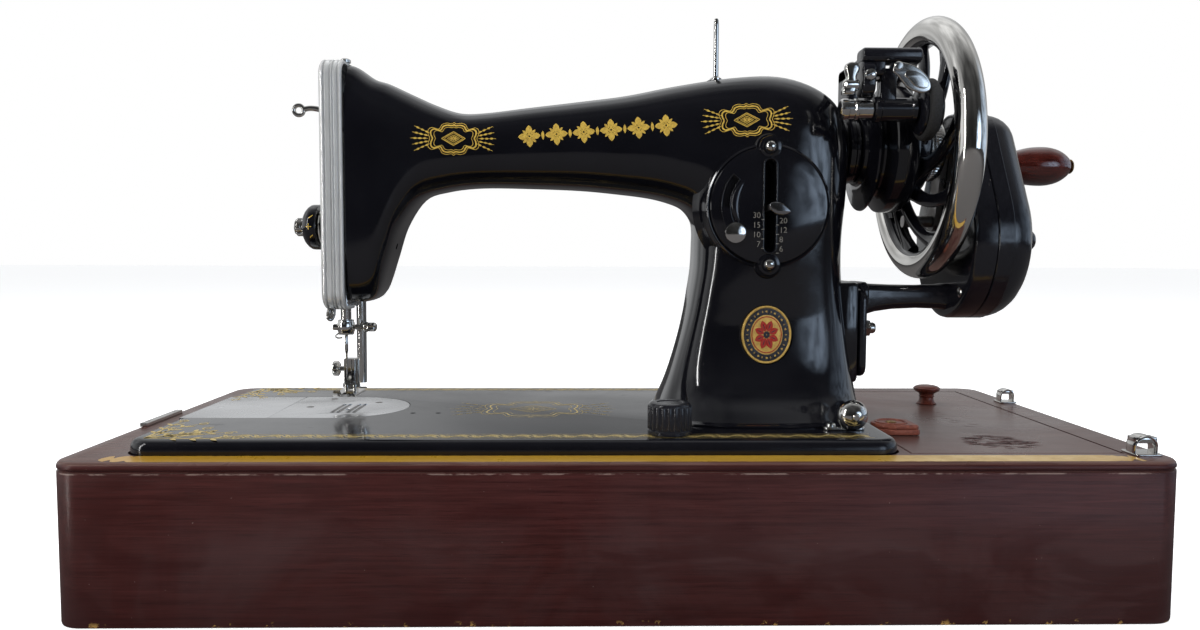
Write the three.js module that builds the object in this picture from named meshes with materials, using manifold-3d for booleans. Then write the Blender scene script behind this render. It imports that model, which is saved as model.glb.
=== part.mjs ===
// Hand-cranked portable sewing machine on a wooden base. Millimetres, +Z up, front towards -Y.
// The origin is the middle of the base's underside.
import * as THREE from "three";
import { mergeVertices } from "three/addons/utils/BufferGeometryUtils.js";
import Module from "manifold-3d";

const wasm = await Module();
wasm.setup();

// Driving dimensions of the wooden base.
const BASE = { w: 526, d: 240, wallTop: 69, top: 77, wall: 12, corner: 14, floor: 6 };
const LID = { x0: 140, x1: 243, y0: -100, y1: 101, under: 71.1, play: 0.5 };
const KNOB = { x: 203, y: 49 };
const BUTTON = { x: 147.6, y: -47, half: 11, reach: 12.4, low: 77.3, high: 83.3 };
const HINGE = { y: 80.5, z: 80.5, r: 3 };

// Driving dimensions of the machine head.
const BED = { x0: -236, x1: 135, y0: -104, y1: 74, rim: 75, top: 84, corner: 12, thick: 6 };
const PLATE = { cx: -156, cy: -5, r: 36.5, split: -189, thick: 2.5 };
const ARM_Y = -15;
const SHAFT_Z = 231.5;
const ARM_END = -146.3;
const ARM_WALL = 5;
const DIAL_PLATE = { x: 79, z: 198, r: 31, ears: [30.6, -30.6], back: -50.2, front: -54.7 };
const STOP_ARC = 23;
const BADGE = { x: 79, z: 130, w: 28, h: 31 };
const FACE = { x0: -159, x1: -146.6, y0: -41, y1: 11, z0: 142, z1: 276, wall: 1.6 };
const NEEDLE = { x: -152.6, y: -14 };
const PRESSER = { x: -146.6, y: -3 };
const TENSION = { y: -20, z: 187 };
const TAKE_UP = { x: -144, y: -25.5, z: 229 };
const WHEEL = { x: 173, r: 72.3, tube: 7.6, spokes: 9 };
const WINDER = { y: -66, z: 246 };
const CRANK_Z = 181;
const MODULE = 2.1;
const GEAR_TEETH = 36;
const PINION_TEETH = 12;
const HANDLE = { y: 58, z: 230 };
const HOUSING = { back: 186, seam: 198, front: 221, big: 44, small: 20, wall: 3 };
const HOOK = { y: -14, z: 56 };

const MATERIAL = {
  wood: new THREE.MeshStandardMaterial({ color: 0x4a1d18, roughness: 0.35 }),
  japan: new THREE.MeshStandardMaterial({ color: 0x0a0a0e, roughness: 0.15 }),
  chrome: new THREE.MeshStandardMaterial({ color: 0xd0d0d4, roughness: 0.12, metalness: 1 }),
  steel: new THREE.MeshStandardMaterial({ color: 0x9a9a9c, roughness: 0.35, metalness: 1 }),
  brass: new THREE.MeshStandardMaterial({ color: 0xb8923a, roughness: 0.3, metalness: 1 }),
  rubber: new THREE.MeshStandardMaterial({ color: 0x18181a, roughness: 0.8 }),
  handle: new THREE.MeshStandardMaterial({ color: 0x55150f, roughness: 0.15 }),
};

const group = new THREE.Group();
group.name = "sewing_machine";

// ---- solids ----

function toSolid(geometry) {
  const bare = new THREE.BufferGeometry();
  bare.setAttribute("position", geometry.getAttribute("position"));
  if (geometry.index) bare.setIndex(geometry.index);
  const merged = mergeVertices(bare, 1e-4);
  const index = merged.index.array;
  const kept = [];
  for (let i = 0; i < index.length; i += 3) {
    const [a, b, c] = [index[i], index[i + 1], index[i + 2]];
    if (a !== b && b !== c && a !== c) kept.push(a, b, c);
  }
  const build = (triangles) =>
    new wasm.Manifold(
      new wasm.Mesh({
        numProp: 3,
        vertProperties: new Float32Array(merged.attributes.position.array),
        triVerts: new Uint32Array(triangles),
      }),
    );
  const made = build(kept);
  if (made.volume() >= 0) return made;
  const turned = [];
  for (let i = 0; i < kept.length; i += 3) turned.push(kept[i], kept[i + 2], kept[i + 1]);
  return build(turned);
}

function toGeometry(solid) {
  const mesh = solid.getMesh();
  const step = mesh.numProp;
  const points = new Float32Array(mesh.numVert * 3);
  for (let i = 0; i < mesh.numVert; i++) {
    points.set(mesh.vertProperties.subarray(i * step, i * step + 3), i * 3);
  }
  const geometry = new THREE.BufferGeometry();
  geometry.setAttribute("position", new THREE.BufferAttribute(points, 3));
  geometry.setIndex(new THREE.BufferAttribute(mesh.triVerts, 1));
  geometry.computeVertexNormals();
  return geometry;
}

const join = (...pieces) => toGeometry(wasm.Manifold.union(pieces.map(toSolid)));

function cut(piece, ...tools) {
  return toGeometry(toSolid(piece).subtract(wasm.Manifold.union(tools.map(toSolid))));
}

const common = (a, b) => toGeometry(toSolid(a).intersect(toSolid(b)));

// A node of the object: one closed body with its own copy of the material.
function node(name, geometry, material) {
  const mesh = new THREE.Mesh(toGeometry(toSolid(geometry)), material.clone());
  mesh.name = name;
  group.add(mesh);
}

// ---- shapes ----

function box(x0, x1, y0, y1, z0, z1) {
  const made = new THREE.BoxGeometry(x1 - x0, y1 - y0, z1 - z0);
  return made.translate((x0 + x1) / 2, (y0 + y1) / 2, (z0 + z1) / 2);
}

function roundRect(x0, x1, y0, y1, r) {
  const s = new THREE.Shape();
  s.moveTo(x0 + r, y0);
  s.lineTo(x1 - r, y0);
  s.absarc(x1 - r, y0 + r, r, -Math.PI / 2, 0, false);
  s.lineTo(x1, y1 - r);
  s.absarc(x1 - r, y1 - r, r, 0, Math.PI / 2, false);
  s.lineTo(x0 + r, y1);
  s.absarc(x0 + r, y1 - r, r, Math.PI / 2, Math.PI, false);
  s.lineTo(x0, y0 + r);
  s.absarc(x0 + r, y0 + r, r, Math.PI, Math.PI * 1.5, false);
  return s;
}

// A flat piece with its outline in the XY plane.
function slab(shape, z0, z1, curve = 4) {
  const options = { depth: z1 - z0, bevelEnabled: false, curveSegments: curve };
  return new THREE.ExtrudeGeometry(shape, options).translate(0, 0, z0);
}

// A flat piece with its outline in the YZ plane, standing from x0 to x1.
function slabX(shape, x0, x1, curve = 4) {
  const made = slab(shape, x0, x1, curve);
  return made.applyMatrix4(new THREE.Matrix4().set(0, 0, 1, 0, 1, 0, 0, 0, 0, 1, 0, 0, 0, 0, 0, 1));
}

// A flat piece with its outline in the XZ plane, standing from y0 (front) to y1.
function slabY(shape, y0, y1, curve = 4) {
  const made = slab(shape, -y1, -y0, curve);
  return made.applyMatrix4(new THREE.Matrix4().set(1, 0, 0, 0, 0, 0, -1, 0, 0, 1, 0, 0, 0, 0, 0, 1));
}

// A turned piece: profile points are [radius, distance along the axis].
function turned(axis, at, profile, segments = 16) {
  const lathe = new THREE.LatheGeometry(
    profile.map(([r, h]) => new THREE.Vector2(r, h)),
    segments,
  );
  if (axis === "x") lathe.rotateZ(-Math.PI / 2);
  if (axis === "z") lathe.rotateX(Math.PI / 2);
  return lathe.translate(at[0], at[1], at[2]);
}

// Rods along each axis, from one end to the other.
function rodX(y, z, r, x0, x1, segments = 16) {
  return turned("x", [0, y, z], [[0, x0], [r, x0], [r, x1], [0, x1]], segments);
}

function rodY(x, z, r, y0, y1, segments = 16) {
  return turned("y", [x, 0, z], [[0, y0], [r, y0], [r, y1], [0, y1]], segments);
}

function rodZ(x, y, r, z0, z1, segments = 16) {
  return turned("z", [x, y, 0], [[0, z0], [r, z0], [r, z1], [0, z1]], segments);
}

// The radius of a faceted hole that a faceted rod of radius r turns freely in.
const bore = (r, segments = 16) => r / Math.cos(Math.PI / segments) + 0.06;

// A closed skin over rings of equal point counts, with a flat cap at each end.
function loft(rings) {
  const count = rings[0].length;
  const points = rings.flat();
  const faces = [];
  for (let i = 0; i < rings.length - 1; i++) {
    for (let j = 0; j < count; j++) {
      const k = (j + 1) % count;
      const [a, b, c, d] = [i * count + j, i * count + k, (i + 1) * count + j, (i + 1) * count + k];
      faces.push(a, b, c, b, d, c);
    }
  }
  [0, rings.length - 1].forEach((end, side) => {
    const middle = new THREE.Vector3();
    rings[end].forEach((p) => middle.addScaledVector(p, 1 / count));
    points.push(middle);
    for (let j = 0; j < count; j++) {
      const pair = [end * count + j, end * count + ((j + 1) % count)];
      if (side) pair.reverse();
      faces.push(points.length - 1, pair[1], pair[0]);
    }
  });
  const geometry = new THREE.BufferGeometry().setFromPoints(points);
  geometry.setIndex(faces);
  return geometry;
}

// ---- wooden base ----

function baseWalls() {
  const [w, d, t] = [BASE.w / 2, BASE.d / 2, BASE.wall];
  const outer = roundRect(-w, w, -d, d, BASE.corner);
  outer.holes.push(roundRect(-w + t, w - t, -d + t, d - t, 3));
  return slab(outer, 0, BASE.wallTop);
}

function baseFloor() {
  const [x, y] = [BASE.w / 2 - BASE.wall - 0.3, BASE.d / 2 - BASE.wall - 0.3];
  return slab(roundRect(-x, x, -y, y, 3), 0, BASE.floor);
}

function baseTop() {
  const [w, d] = [BASE.w / 2, BASE.d / 2];
  const plate = slab(roundRect(-w, w, -d, d, BASE.corner), BASE.wallTop, BASE.top);
  const groove = roundRect(-w - 1, w + 1, -d - 1, d + 1, BASE.corner + 1);
  groove.holes.push(roundRect(-w + 0.8, w - 0.8, -d + 0.8, d - 0.8, BASE.corner - 0.8));
  const bedSeat = roundRect(BED.x0 - 1, BED.x1 + 1, BED.y0 - 1, BED.y1 + 1, BED.corner + 1);
  const lidSeat = box(LID.x0 - 0.5, LID.x1 + 0.5, LID.y0 - 0.5, LID.y1 + 0.5, 71, 80);
  return cut(
    plate,
    slab(groove, 72.4, 73.4),
    slab(bedSeat, BED.rim - 0.3, 80),
    box(BED.x0 + 8, BED.x1 - 8, BED.y0 + 8, BED.y1 - 8, 60, 80),
    lidSeat,
    box(LID.x0 + 8, LID.x1 - 8, LID.y0 + 8, LID.y1 - 8, 60, 80),
  );
}

function catchLoop(x, y, w, h, t) {
  const arch = new THREE.Shape();
  arch.moveTo(x - w / 2, BASE.top);
  arch.lineTo(x + w / 2, BASE.top);
  arch.lineTo(x + w / 2, BASE.top + h - w / 2);
  arch.absarc(x, BASE.top + h - w / 2, w / 2, 0, Math.PI, false);
  const gap = new THREE.Path();
  gap.moveTo(x - w / 2 + 2, BASE.top + 2);
  gap.lineTo(x - w / 2 + 2, BASE.top + h - 3.4);
  gap.lineTo(x + w / 2 - 2, BASE.top + h - 3.4);
  gap.lineTo(x + w / 2 - 2, BASE.top + 2);
  arch.holes.push(gap);
  return slabY(arch, y - t / 2, y + t / 2, 8);
}

function catchTongue() {
  const tongue = box(-262, -258, -31, 14, BASE.top, BASE.top + 2.2);
  return cut(tongue, rodZ(-260, -24, 1, 70, 90, 12), rodZ(-260, 7, 1, 70, 90, 12));
}

function hingePost(x) {
  const foot = box(x - 12, x + 12, HINGE.y - 3, HINGE.y + 22, BASE.top, BASE.top + 1.6);
  const neck = box(x - 6, x + 6, HINGE.y - 2, HINGE.y + 2, BASE.top, HINGE.z);
  return join(foot, neck, rodX(HINGE.y, HINGE.z, HINGE.r, x - 6, x + 6, 16));
}

function lidBoard() {
  return box(LID.x0, LID.x1, LID.y0, LID.y1, LID.under, BASE.top);
}

function lidKnob() {
  const z = BASE.top;
  const profile = [
    [0, z], [5.2, z], [4.6, z + 1.4], [4.3, z + 4], [4.5, z + 7], [7.4, z + 8.6],
    [8.3, z + 10], [7.6, z + 11.4], [4, z + 12.2], [0, z + 12.4],
  ];
  return turned("z", [KNOB.x, KNOB.y, 0], profile, 18);
}

function turnButton() {
  const { x, y, half, reach, low, high } = BUTTON;
  const s = new THREE.Shape();
  s.moveTo(x, y - half);
  s.lineTo(x + reach - 2, y - half);
  s.lineTo(x + reach, y - half + 2);
  s.lineTo(x + reach, y + half - 2);
  s.lineTo(x + reach - 2, y + half);
  s.lineTo(x, y + half);
  s.absarc(x, y, half, Math.PI / 2, Math.PI * 1.5, false);
  return slab(s, low, high, 10);
}

// ---- bed ----

function slidewayShape(play, left) {
  const { cx, cy, r } = PLATE;
  const s = new THREE.Shape();
  s.moveTo(left, cy - r - play);
  s.lineTo(cx, cy - r - play);
  s.absarc(cx, cy, r + play, -Math.PI / 2, Math.PI / 2, false);
  s.lineTo(left, cy + r + play);
  return s;
}

function bedPlate() {
  const b = 1.5;
  const outline = roundRect(BED.x0 + b, BED.x1 - b, BED.y0 + b, BED.y1 - b, BED.corner - b);
  const skin = new THREE.ExtrudeGeometry(outline, {
    depth: BED.top - BED.rim - 2 * b,
    bevelThickness: b,
    bevelSize: b,
    bevelSegments: 1,
    curveSegments: 5,
  }).translate(0, 0, BED.rim + b);
  const under = box(BED.x0 + 9, BED.x1 - 9, BED.y0 + 9, BED.y1 - 9, 70, BED.top - BED.thick);
  const rodWell = box(62, 106, -40, 10, 70, 90);
  const hollow = cut(
    skin,
    under,
    rodWell,
    slab(slidewayShape(0.3, BED.x0 - 5), BED.top - PLATE.thick - 0.1, 90, 12),
    slab(slidewayShape(-6, BED.x0 + 7), 70, 90, 12),
  );
  return join(hollow, ...bedLugs());
}

// Bearings cast under the bed for the hook shaft.
function bedLugs() {
  return [-112, 40].map((x) =>
    cut(
      join(
        box(x - 5, x + 5, HOOK.y - 8, HOOK.y + 8, HOOK.z, BED.top - BED.thick + 0.5),
        rodX(HOOK.y, HOOK.z, 8, x - 5, x + 5),
      ),
      rodX(HOOK.y, HOOK.z, bore(4), x - 6, x + 6),
    ),
  );
}

function slidePlate() {
  const { split, cy, r, thick } = PLATE;
  const flat = box(BED.x0 + 0.2, split - 0.2, cy - r, cy + r, BED.top - thick, BED.top);
  return cut(flat, box(-229, -226, -8, -4, BED.top - 0.8, 90));
}

function needlePlate() {
  const flat = slab(slidewayShape(0, PLATE.split), BED.top - PLATE.thick, BED.top, 14);
  const slots = [-158.6, -155.4, -149.8, -146.6].map((x) =>
    box(x - 1.1, x + 1.1, -25, 5, 70, 90),
  );
  const holes = [[-176, -6], [-140, 10], [-170, 24]].map(([x, y]) => rodZ(x, y, 1.6, 70, 90, 12));
  return cut(flat, ...slots, ...holes, rodZ(NEEDLE.x, NEEDLE.y, 1.6, 70, 90, 12));
}

// ---- arm: ribs join a point of the inner outline to one of the outer outline ----

const RIBS = [
  // inner x, inner z, outer x, outer z, half depth, squareness
  [ARM_END, 146, ARM_END, 275, 25, 4.5],
  [-138, 146, -141, 273.5, 25.5, 4.2],
  [-131, 151, -132, 267.5, 26, 4],
  [-125, 168, -124, 265, 25.5, 3.6],
  [-119, 186, -112, 259.6, 24.5, 3.2],
  [-108, 202, -99, 254, 23, 2.8],
  [-94, 207, -86, 250, 22.5, 2.6],
  [-75, 209.2, -72, 250.2, 22.5, 2.6],
  [-48, 209, -48, 253.2, 23.5, 2.6],
  [-20, 208, -20, 256.6, 25, 2.6],
  [2, 206, 5, 259.8, 26.5, 2.7],
  [18, 204, 32, 265, 28.5, 2.8],
  [29, 201.4, 62, 269.3, 31, 3],
  [37, 198, 88, 270, 33, 3.1],
  [42, 192, 108, 264, 34.5, 3.2],
  [43.3, 186, 121, 253, 35, 3.3],
  [43.3, 178, 126.5, 235, 35, 3.4],
  [42.8, 165, 126, 208, 35, 3.5],
  [41, 152, 124, 182, 34.6, 3.5],
  [39, 140, 124.5, 158, 34, 3.5],
  [36, 127, 127.5, 134, 34, 3.4],
  [32, 113, 130.5, 113, 37, 3.2],
  [28, 101, 133, 98, 43, 3],
  [24, 91, 134.5, 89, 52, 2.9],
  [21, 84, 136, 84, 58, 2.9],
];

function ribRing([ix, iz, ox, oz, depth, power], offset, points) {
  const half = Math.hypot(ox - ix, oz - iz) / 2;
  const along = new THREE.Vector3(ox - ix, 0, oz - iz).normalize();
  const middle = new THREE.Vector3((ix + ox) / 2, ARM_Y, (iz + oz) / 2);
  const rounded = (c) => Math.sign(c) * Math.abs(c) ** (2 / power);
  return Array.from({ length: points }, (_, i) => {
    const angle = (2 * Math.PI * (i + 0.5)) / points;
    const p = middle.clone().addScaledVector(along, (half + offset) * rounded(Math.cos(angle)));
    p.y += (depth + offset) * rounded(Math.sin(angle));
    return p;
  });
}

function armSkin(offset) {
  return loft(RIBS.map((rib) => ribRing(rib, offset, 20)));
}

// The hollow inside the casting runs out through the head's end and the pillar's foot.
function armHollow() {
  const ribs = RIBS.map((rib) => [...rib]);
  ribs[0][0] = ribs[0][2] = ARM_END - 1;
  ribs[ribs.length - 1][1] = ribs[ribs.length - 1][3] = BED.top - 1;
  return loft(ribs.map((rib) => ribRing(rib, -ARM_WALL, 12)));
}

function arcBand(cx, cz, r, half, from, to) {
  const s = new THREE.Shape();
  s.absarc(cx, cz, r + half, from, to, false);
  s.absarc(cx, cz, r - half, to, from, true);
  return s;
}

function armCasting() {
  const { x, z, r, ears, back } = DIAL_PLATE;
  const skin = join(
    common(armSkin(0), box(-200, 200, -90, 90, BED.top, 300)),
    rodY(x, z, r + 1.2, back, -40, 36),
    ...ears.map((at) => rodY(x, z + at, 6.8, back, -40, 16)),
    box(118, 133, ARM_Y - 22, ARM_Y + 22, 102, 158),
  );
  const seatZ = 264.5;
  const stud = rodY(TAKE_UP.x, TAKE_UP.z, 2, -38, TAKE_UP.y + 3);
  const casting = cut(
    skin,
    armHollow(),
    rodX(ARM_Y, SHAFT_Z, 15.3, 100, 140, 20),
    box(x - 4, x + 4, -70, -40, z - 25.5, z + 25),
    badgeShape(0.3, -60, -48.1),
    box(-150, -141, PRESSER.y - 4, PRESSER.y + 4, 140, 158),
    box(-150, -134, 0, 14, 152, 175),
    rodZ(55.5, ARM_Y, 2.8, seatZ, 280),
  );
  return join(casting, stud);
}

function badgeShape(play, y0, y1) {
  const s = new THREE.Shape();
  s.absellipse(BADGE.x, BADGE.z, BADGE.w / 2 + play, BADGE.h / 2 + play, 0, Math.PI * 2, false, 0);
  return slabY(s, y0, y1, 14);
}

function shaftBushing() {
  const r = bore(7, 20);
  const shell = [[r, 110], [15, 110], [15, 126.8], [19, 126.8], [19, 133.4], [r, 133.4], [r, 110]];
  return turned("x", [0, ARM_Y, SHAFT_Z], shell, 20);
}

function spoolPin() {
  const profile = [
    [0, 264.8], [2.5, 264.8], [2.5, 269], [3.4, 269.6], [3.4, 271], [1.5, 271.4],
    [1.5, 302], [0.9, 303.4], [0, 303.8],
  ];
  return turned("z", [55.5, ARM_Y, 0], profile, 16);
}

// ---- stitch length dial ----

function dialPlate() {
  const { x, z, r, ears, back, front } = DIAL_PLATE;
  const lobes = ears.map((at) => rodY(x, z + at, 6, front, back - 0.3, 12));
  const face = join(rodY(x, z, r, front, back - 0.3, 36), ...lobes);
  const arc = slabY(arcBand(x, z, STOP_ARC, 1.7, 2.5, 3.95), -60, -40, 10);
  return cut(
    face,
    box(x - 3.2, x + 3.2, -70, -40, z - 24.5, z + 24),
    arc,
    ...ears.map((at) => rodY(x, z + at, 3.1, front - 2, front + 1.5, 12)),
  );
}

function dialScrew(z) {
  const y = DIAL_PLATE.front;
  const profile = [[0, y - 2.6], [1.6, y - 2.4], [2.8, y - 1.6], [2.8, y + 1.2], [0, y + 1.2]];
  const head = turned("y", [DIAL_PLATE.x, 0, z], profile, 12);
  return cut(head, box(70, 90, y - 4, y - 1.8, z - 0.4, z + 0.4));
}

function stitchLever() {
  const { x, z } = DIAL_PLATE;
  const blade = box(x - 1.4, x + 1.4, -62, -8, z - 2.6, z + 0.4);
  const profile = [[0, -70], [3, -69.2], [4, -67], [3.4, -63], [2, -61], [0, -61]];
  const tip = turned("y", [x, 0, z - 1.1], profile, 16);
  return join(blade, tip, rodX(-8, z - 1.1, 4.5, x - 5, x + 5, 20));
}

function stopNut() {
  const at = (218 * Math.PI) / 180;
  const [x, z] = [DIAL_PLATE.x + STOP_ARC * Math.cos(at), DIAL_PLATE.z + STOP_ARC * Math.sin(at)];
  const y = DIAL_PLATE.front - 0.2;
  const profile = [
    [0, y - 3.6], [3.4, y - 3.4], [4.8, y - 2.6], [4.8, y - 0.8], [4, y], [1.3, y],
    [1.3, y + 3.5], [0, y + 3.5],
  ];
  return turned("y", [x, 0, z], profile, 20);
}

// ---- face plate, thread tension and take-up ----

function facePlate() {
  const { x0, x1, y0, y1, z0, z1, wall } = FACE;
  const shell = slabX(roundRect(y0, y1, z0, z1, 9), x0, x1, 5);
  const inside = roundRect(y0 + wall, y1 - wall, z0 + wall, z1 - wall, 7.6);
  return cut(
    shell,
    slabX(inside, x0 + wall, x1 + 1, 5),
    box(x0 - 1, x0 + 3, TAKE_UP.y - 2.6, TAKE_UP.y + 2.6, 198, 264),
    rodX(TENSION.y, TENSION.z, 3.2, x0 - 2, x0 + 4, 16),
    box(x0 + wall, x1 + 1, NEEDLE.y - 4, PRESSER.y + 4, z0 - 2, z0 + 3),
    box(x1 - 5, x1 + 1, PRESSER.y + 3, 20, 160, 176),
  );
}

function tensionStud() {
  const [x0, y, z] = [FACE.x0, TENSION.y, TENSION.z];
  const profile = [
    [0, x0 - 20], [1.6, x0 - 20], [1.6, x0 - 4.4], [9, x0 - 4.4], [9.6, x0 - 3.4], [3, x0 - 2.6],
    [9.6, x0 - 1.8], [9, x0 - 0.6], [3, x0 - 0.3], [3, x0 + 5], [0, x0 + 5],
  ];
  return turned("x", [0, y, z], profile, 24);
}

function tensionDial() {
  const x0 = FACE.x0;
  const profile = [
    [1.9, x0 - 14], [7, x0 - 14], [11, x0 - 11], [12.4, x0 - 9.6], [12.4, x0 - 5.4], [9, x0 - 4.7],
    [1.9, x0 - 4.7], [1.9, x0 - 14],
  ];
  return turned("x", [0, TENSION.y, TENSION.z], profile, 18);
}

function tensionNut() {
  const x0 = FACE.x0;
  const profile = [
    [1.9, x0 - 19], [4.4, x0 - 19], [5, x0 - 18.4], [5, x0 - 14.9], [4.2, x0 - 14.3],
    [1.9, x0 - 14.3], [1.9, x0 - 19],
  ];
  return turned("x", [0, TENSION.y, TENSION.z], profile, 18);
}

// The lever swings on a stud in the head; its eyelet stands out through the face plate's slot.
function takeUpLever() {
  const { x, y, z } = TAKE_UP;
  const path = new THREE.CatmullRomCurve3([
    new THREE.Vector3(x - 2, y, z + 2),
    new THREE.Vector3(x - 9, y, z + 10),
    new THREE.Vector3(x - 20, y, z + 18),
    new THREE.Vector3(x - 31, y, z + 21),
  ]);
  const strip = new THREE.Shape([
    new THREE.Vector2(-1.6, -1.3),
    new THREE.Vector2(1.6, -1.3),
    new THREE.Vector2(1.6, 1.3),
    new THREE.Vector2(-1.6, 1.3),
  ]);
  const rod = new THREE.ExtrudeGeometry(strip, { steps: 8, bevelEnabled: false, extrudePath: path });
  const eye = new THREE.TorusGeometry(2.6, 1.1, 8, 14).rotateX(Math.PI / 2);
  eye.translate(x - 33.5, y, z + 21);
  const hub = cut(rodY(x, z, 4.2, y - 2.5, y + 2.5), rodY(x, z, bore(2), y - 4, y + 4));
  return join(cut(rod, rodY(x, z, 3, y - 4, y + 4)), eye, hub);
}

// ---- needle bar and presser bar ----

function needleBar() {
  const bar = rodZ(NEEDLE.x, NEEDLE.y, 2.9, 127, 262, 20);
  const lug = box(NEEDLE.x, -139.4, NEEDLE.y - 4, NEEDLE.y + 4, 212, 222);
  return join(bar, lug, rodX(NEEDLE.y, 217, 2, -140, -136));
}

function needleClamp() {
  const ring = [[3.1, 126.7], [4.4, 126.7], [4.6, 128], [4.6, 134.4], [4, 135.2], [3.1, 135.2], [3.1, 126.7]];
  const left = box(-160, -156.4, NEEDLE.y - 2, NEEDLE.y + 2, 129.5, 132.5);
  return join(turned("z", [NEEDLE.x, NEEDLE.y, 0], ring, 20), left);
}

function clampScrew() {
  const [y, z] = [NEEDLE.y, 131];
  const stem = rodX(y, z, 1.4, -147.6, -140, 12);
  const wing = new THREE.Shape();
  wing.absellipse(y, z, 3.9, 2.6, 0, Math.PI * 2, false, 0);
  return join(stem, slabX(wing, -141, -135.6, 10));
}

function needle() {
  const profile = [[0, 101], [0.5, 104], [0.6, 116], [1, 117], [1, 126.4], [0, 126.4]];
  return turned("z", [NEEDLE.x, NEEDLE.y, 0], profile, 12);
}

// The link hangs from the needle bar's lug and reaches up to the crank pin.
function needleLink() {
  const y = NEEDLE.y;
  const strap = box(-139, -136, y - 3, y + 3, 217, 246);
  const lower = rodX(y, 217, 5, -139, -136, 20);
  const upper = rodX(y, 246, 4.3, -139, -136, 20);
  const holes = [rodX(y, 246, 2.8, -141, -134), rodX(y, 217, bore(2), -141, -134)];
  return cut(join(strap, lower, upper), ...holes);
}

function presserBar() {
  const bar = rodZ(PRESSER.x, PRESSER.y, 2.8, 98, 262);
  return join(bar, box(PRESSER.x - 1, -138, PRESSER.y, PRESSER.y + 7, 180.5, 187));
}

function presserFoot() {
  const [x, y] = [NEEDLE.x, NEEDLE.y];
  const shank = box(-156.4, -149.7, PRESSER.y - 4, PRESSER.y + 4, 96, 112);
  const post = box(-156.4, -148, PRESSER.y - 4, PRESSER.y + 3, 93.4, 97);
  const sole = new THREE.Shape();
  sole.moveTo(x - 6.5, y - 9);
  sole.lineTo(x + 6.5, y - 9);
  sole.lineTo(x + 7, y + 15);
  sole.lineTo(x - 7, y + 15);
  const slot = box(x - 1.9, x + 1.9, y - 12, y + 4, 80, 100);
  return join(shank, post, cut(slab(sole, 91.8, 93.7), slot));
}

function footScrew() {
  const profile = [
    [0, -163.5], [3.6, -163.5], [4.6, -162.6], [4.6, -160.4], [3.6, -159.6], [1.5, -159.4],
    [1.5, -156.8], [0, -156.8],
  ];
  const screw = turned("x", [0, PRESSER.y, 106], profile, 20);
  return cut(screw, box(-165, -162.4, PRESSER.y - 0.5, PRESSER.y + 0.5, 100, 112));
}

// The lifter's cam lies under the presser bar's guide and its tail stands out behind the head.
function presserLifter() {
  const cam = rodY(-141, 166, 5.5, 0.4, 6);
  const tail = box(-143, -139, 3, 26, 164, 168);
  const tab = box(-145, -137, 18, 34, 156, 169);
  return join(cam, tail, tab);
}

// ---- hand wheel and arm shaft ----

function wheelRim() {
  const { x, r, tube } = WHEEL;
  const ring = new THREE.TorusGeometry(r - tube, tube, 12, 36).rotateY(Math.PI / 2);
  return ring.translate(x, ARM_Y, SHAFT_Z);
}

// A curved spoke of oval section from the hub out to the rim.
function spoke(angle) {
  const last = 5;
  const path = Array.from({ length: last + 1 }, (_, i) => {
    const t = i / last;
    const turn = angle - 0.8 * t;
    const radius = 24 + 35 * t;
    return new THREE.Vector3(
      164 + 9 * t,
      ARM_Y + radius * Math.cos(turn),
      SHAFT_Z + radius * Math.sin(turn),
    );
  });
  const rings = path.map((p, i) => {
    const before = path[Math.max(i - 1, 0)];
    const along = path[Math.min(i + 1, last)].clone().sub(before).normalize();
    const side = new THREE.Vector3(1, 0, 0).cross(along).normalize();
    const up = along.clone().cross(side).normalize();
    const wide = 4.8 - 1 * Math.sin((Math.PI * i) / last);
    return Array.from({ length: 8 }, (_, k) => {
      const a = (2 * Math.PI * k) / 8;
      return p.clone().addScaledVector(side, wide * Math.cos(a)).addScaledVector(up, 3 * Math.sin(a));
    });
  });
  return loft(rings);
}

function wheelSpider() {
  const hub = turned("x", [0, ARM_Y, SHAFT_Z], [
    [7.2, 134], [20, 134], [26, 136], [33.5, 137], [34, 138.4], [28, 142], [28, 144], [34.5, 147.6],
    [35, 149], [35, 158], [33, 161], [27, 163], [24, 170], [17, 171], [7.2, 171], [7.2, 134],
  ], 28);
  const spokes = Array.from({ length: WHEEL.spokes }, (_, i) =>
    spoke((2 * Math.PI * i) / WHEEL.spokes + 0.157),
  );
  const room = new THREE.TorusGeometry(WHEEL.r - WHEEL.tube, WHEEL.tube + 0.3, 12, 36);
  room.rotateY(Math.PI / 2).translate(WHEEL.x, ARM_Y, SHAFT_Z);
  return cut(join(hub, ...spokes), room);
}

function stopMotionKnob() {
  const profile = [
    [7.2, 171.3], [16, 171.3], [17.5, 173], [17.5, 179], [16, 181], [10, 182], [7.2, 182], [7.2, 171.3],
  ];
  return turned("x", [0, ARM_Y, SHAFT_Z], profile, 24);
}

// The shaft carries a crank disc with a short pin that stops just before the link.
function armShaft() {
  const shaft = rodX(ARM_Y, SHAFT_Z, 7, -126, 181.6, 20);
  const disc = rodX(ARM_Y, SHAFT_Z, 17, -130.5, -125, 24);
  const pin = rodX(ARM_Y + 1, SHAFT_Z + 14.5, 2.5, -135.6, -130);
  return join(shaft, disc, pin);
}

// ---- bobbin winder ----

function winderBracket() {
  const cheek = slabX(roundRect(-73.5, -58.5, 252, 270, 6), 121, 127.6);
  const top = slabX(roundRect(-73, -60, 268.6, 276, 3), 121, 151);
  const rail = slabX(roundRect(-66, -6, 268.6, 276, 3), 126.6, 132.8);
  const post = slabX(roundRect(-26, -6, 244, 276, 3), 126.6, 132.8);
  const pivot = rodX(WINDER.y, WINDER.z + 16, 2, 126, 140);
  return cut(join(cheek, top, rail, post, pivot), armSkin(0.3), rodX(ARM_Y, SHAFT_Z, 19.3, 120, 134, 40));
}

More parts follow.
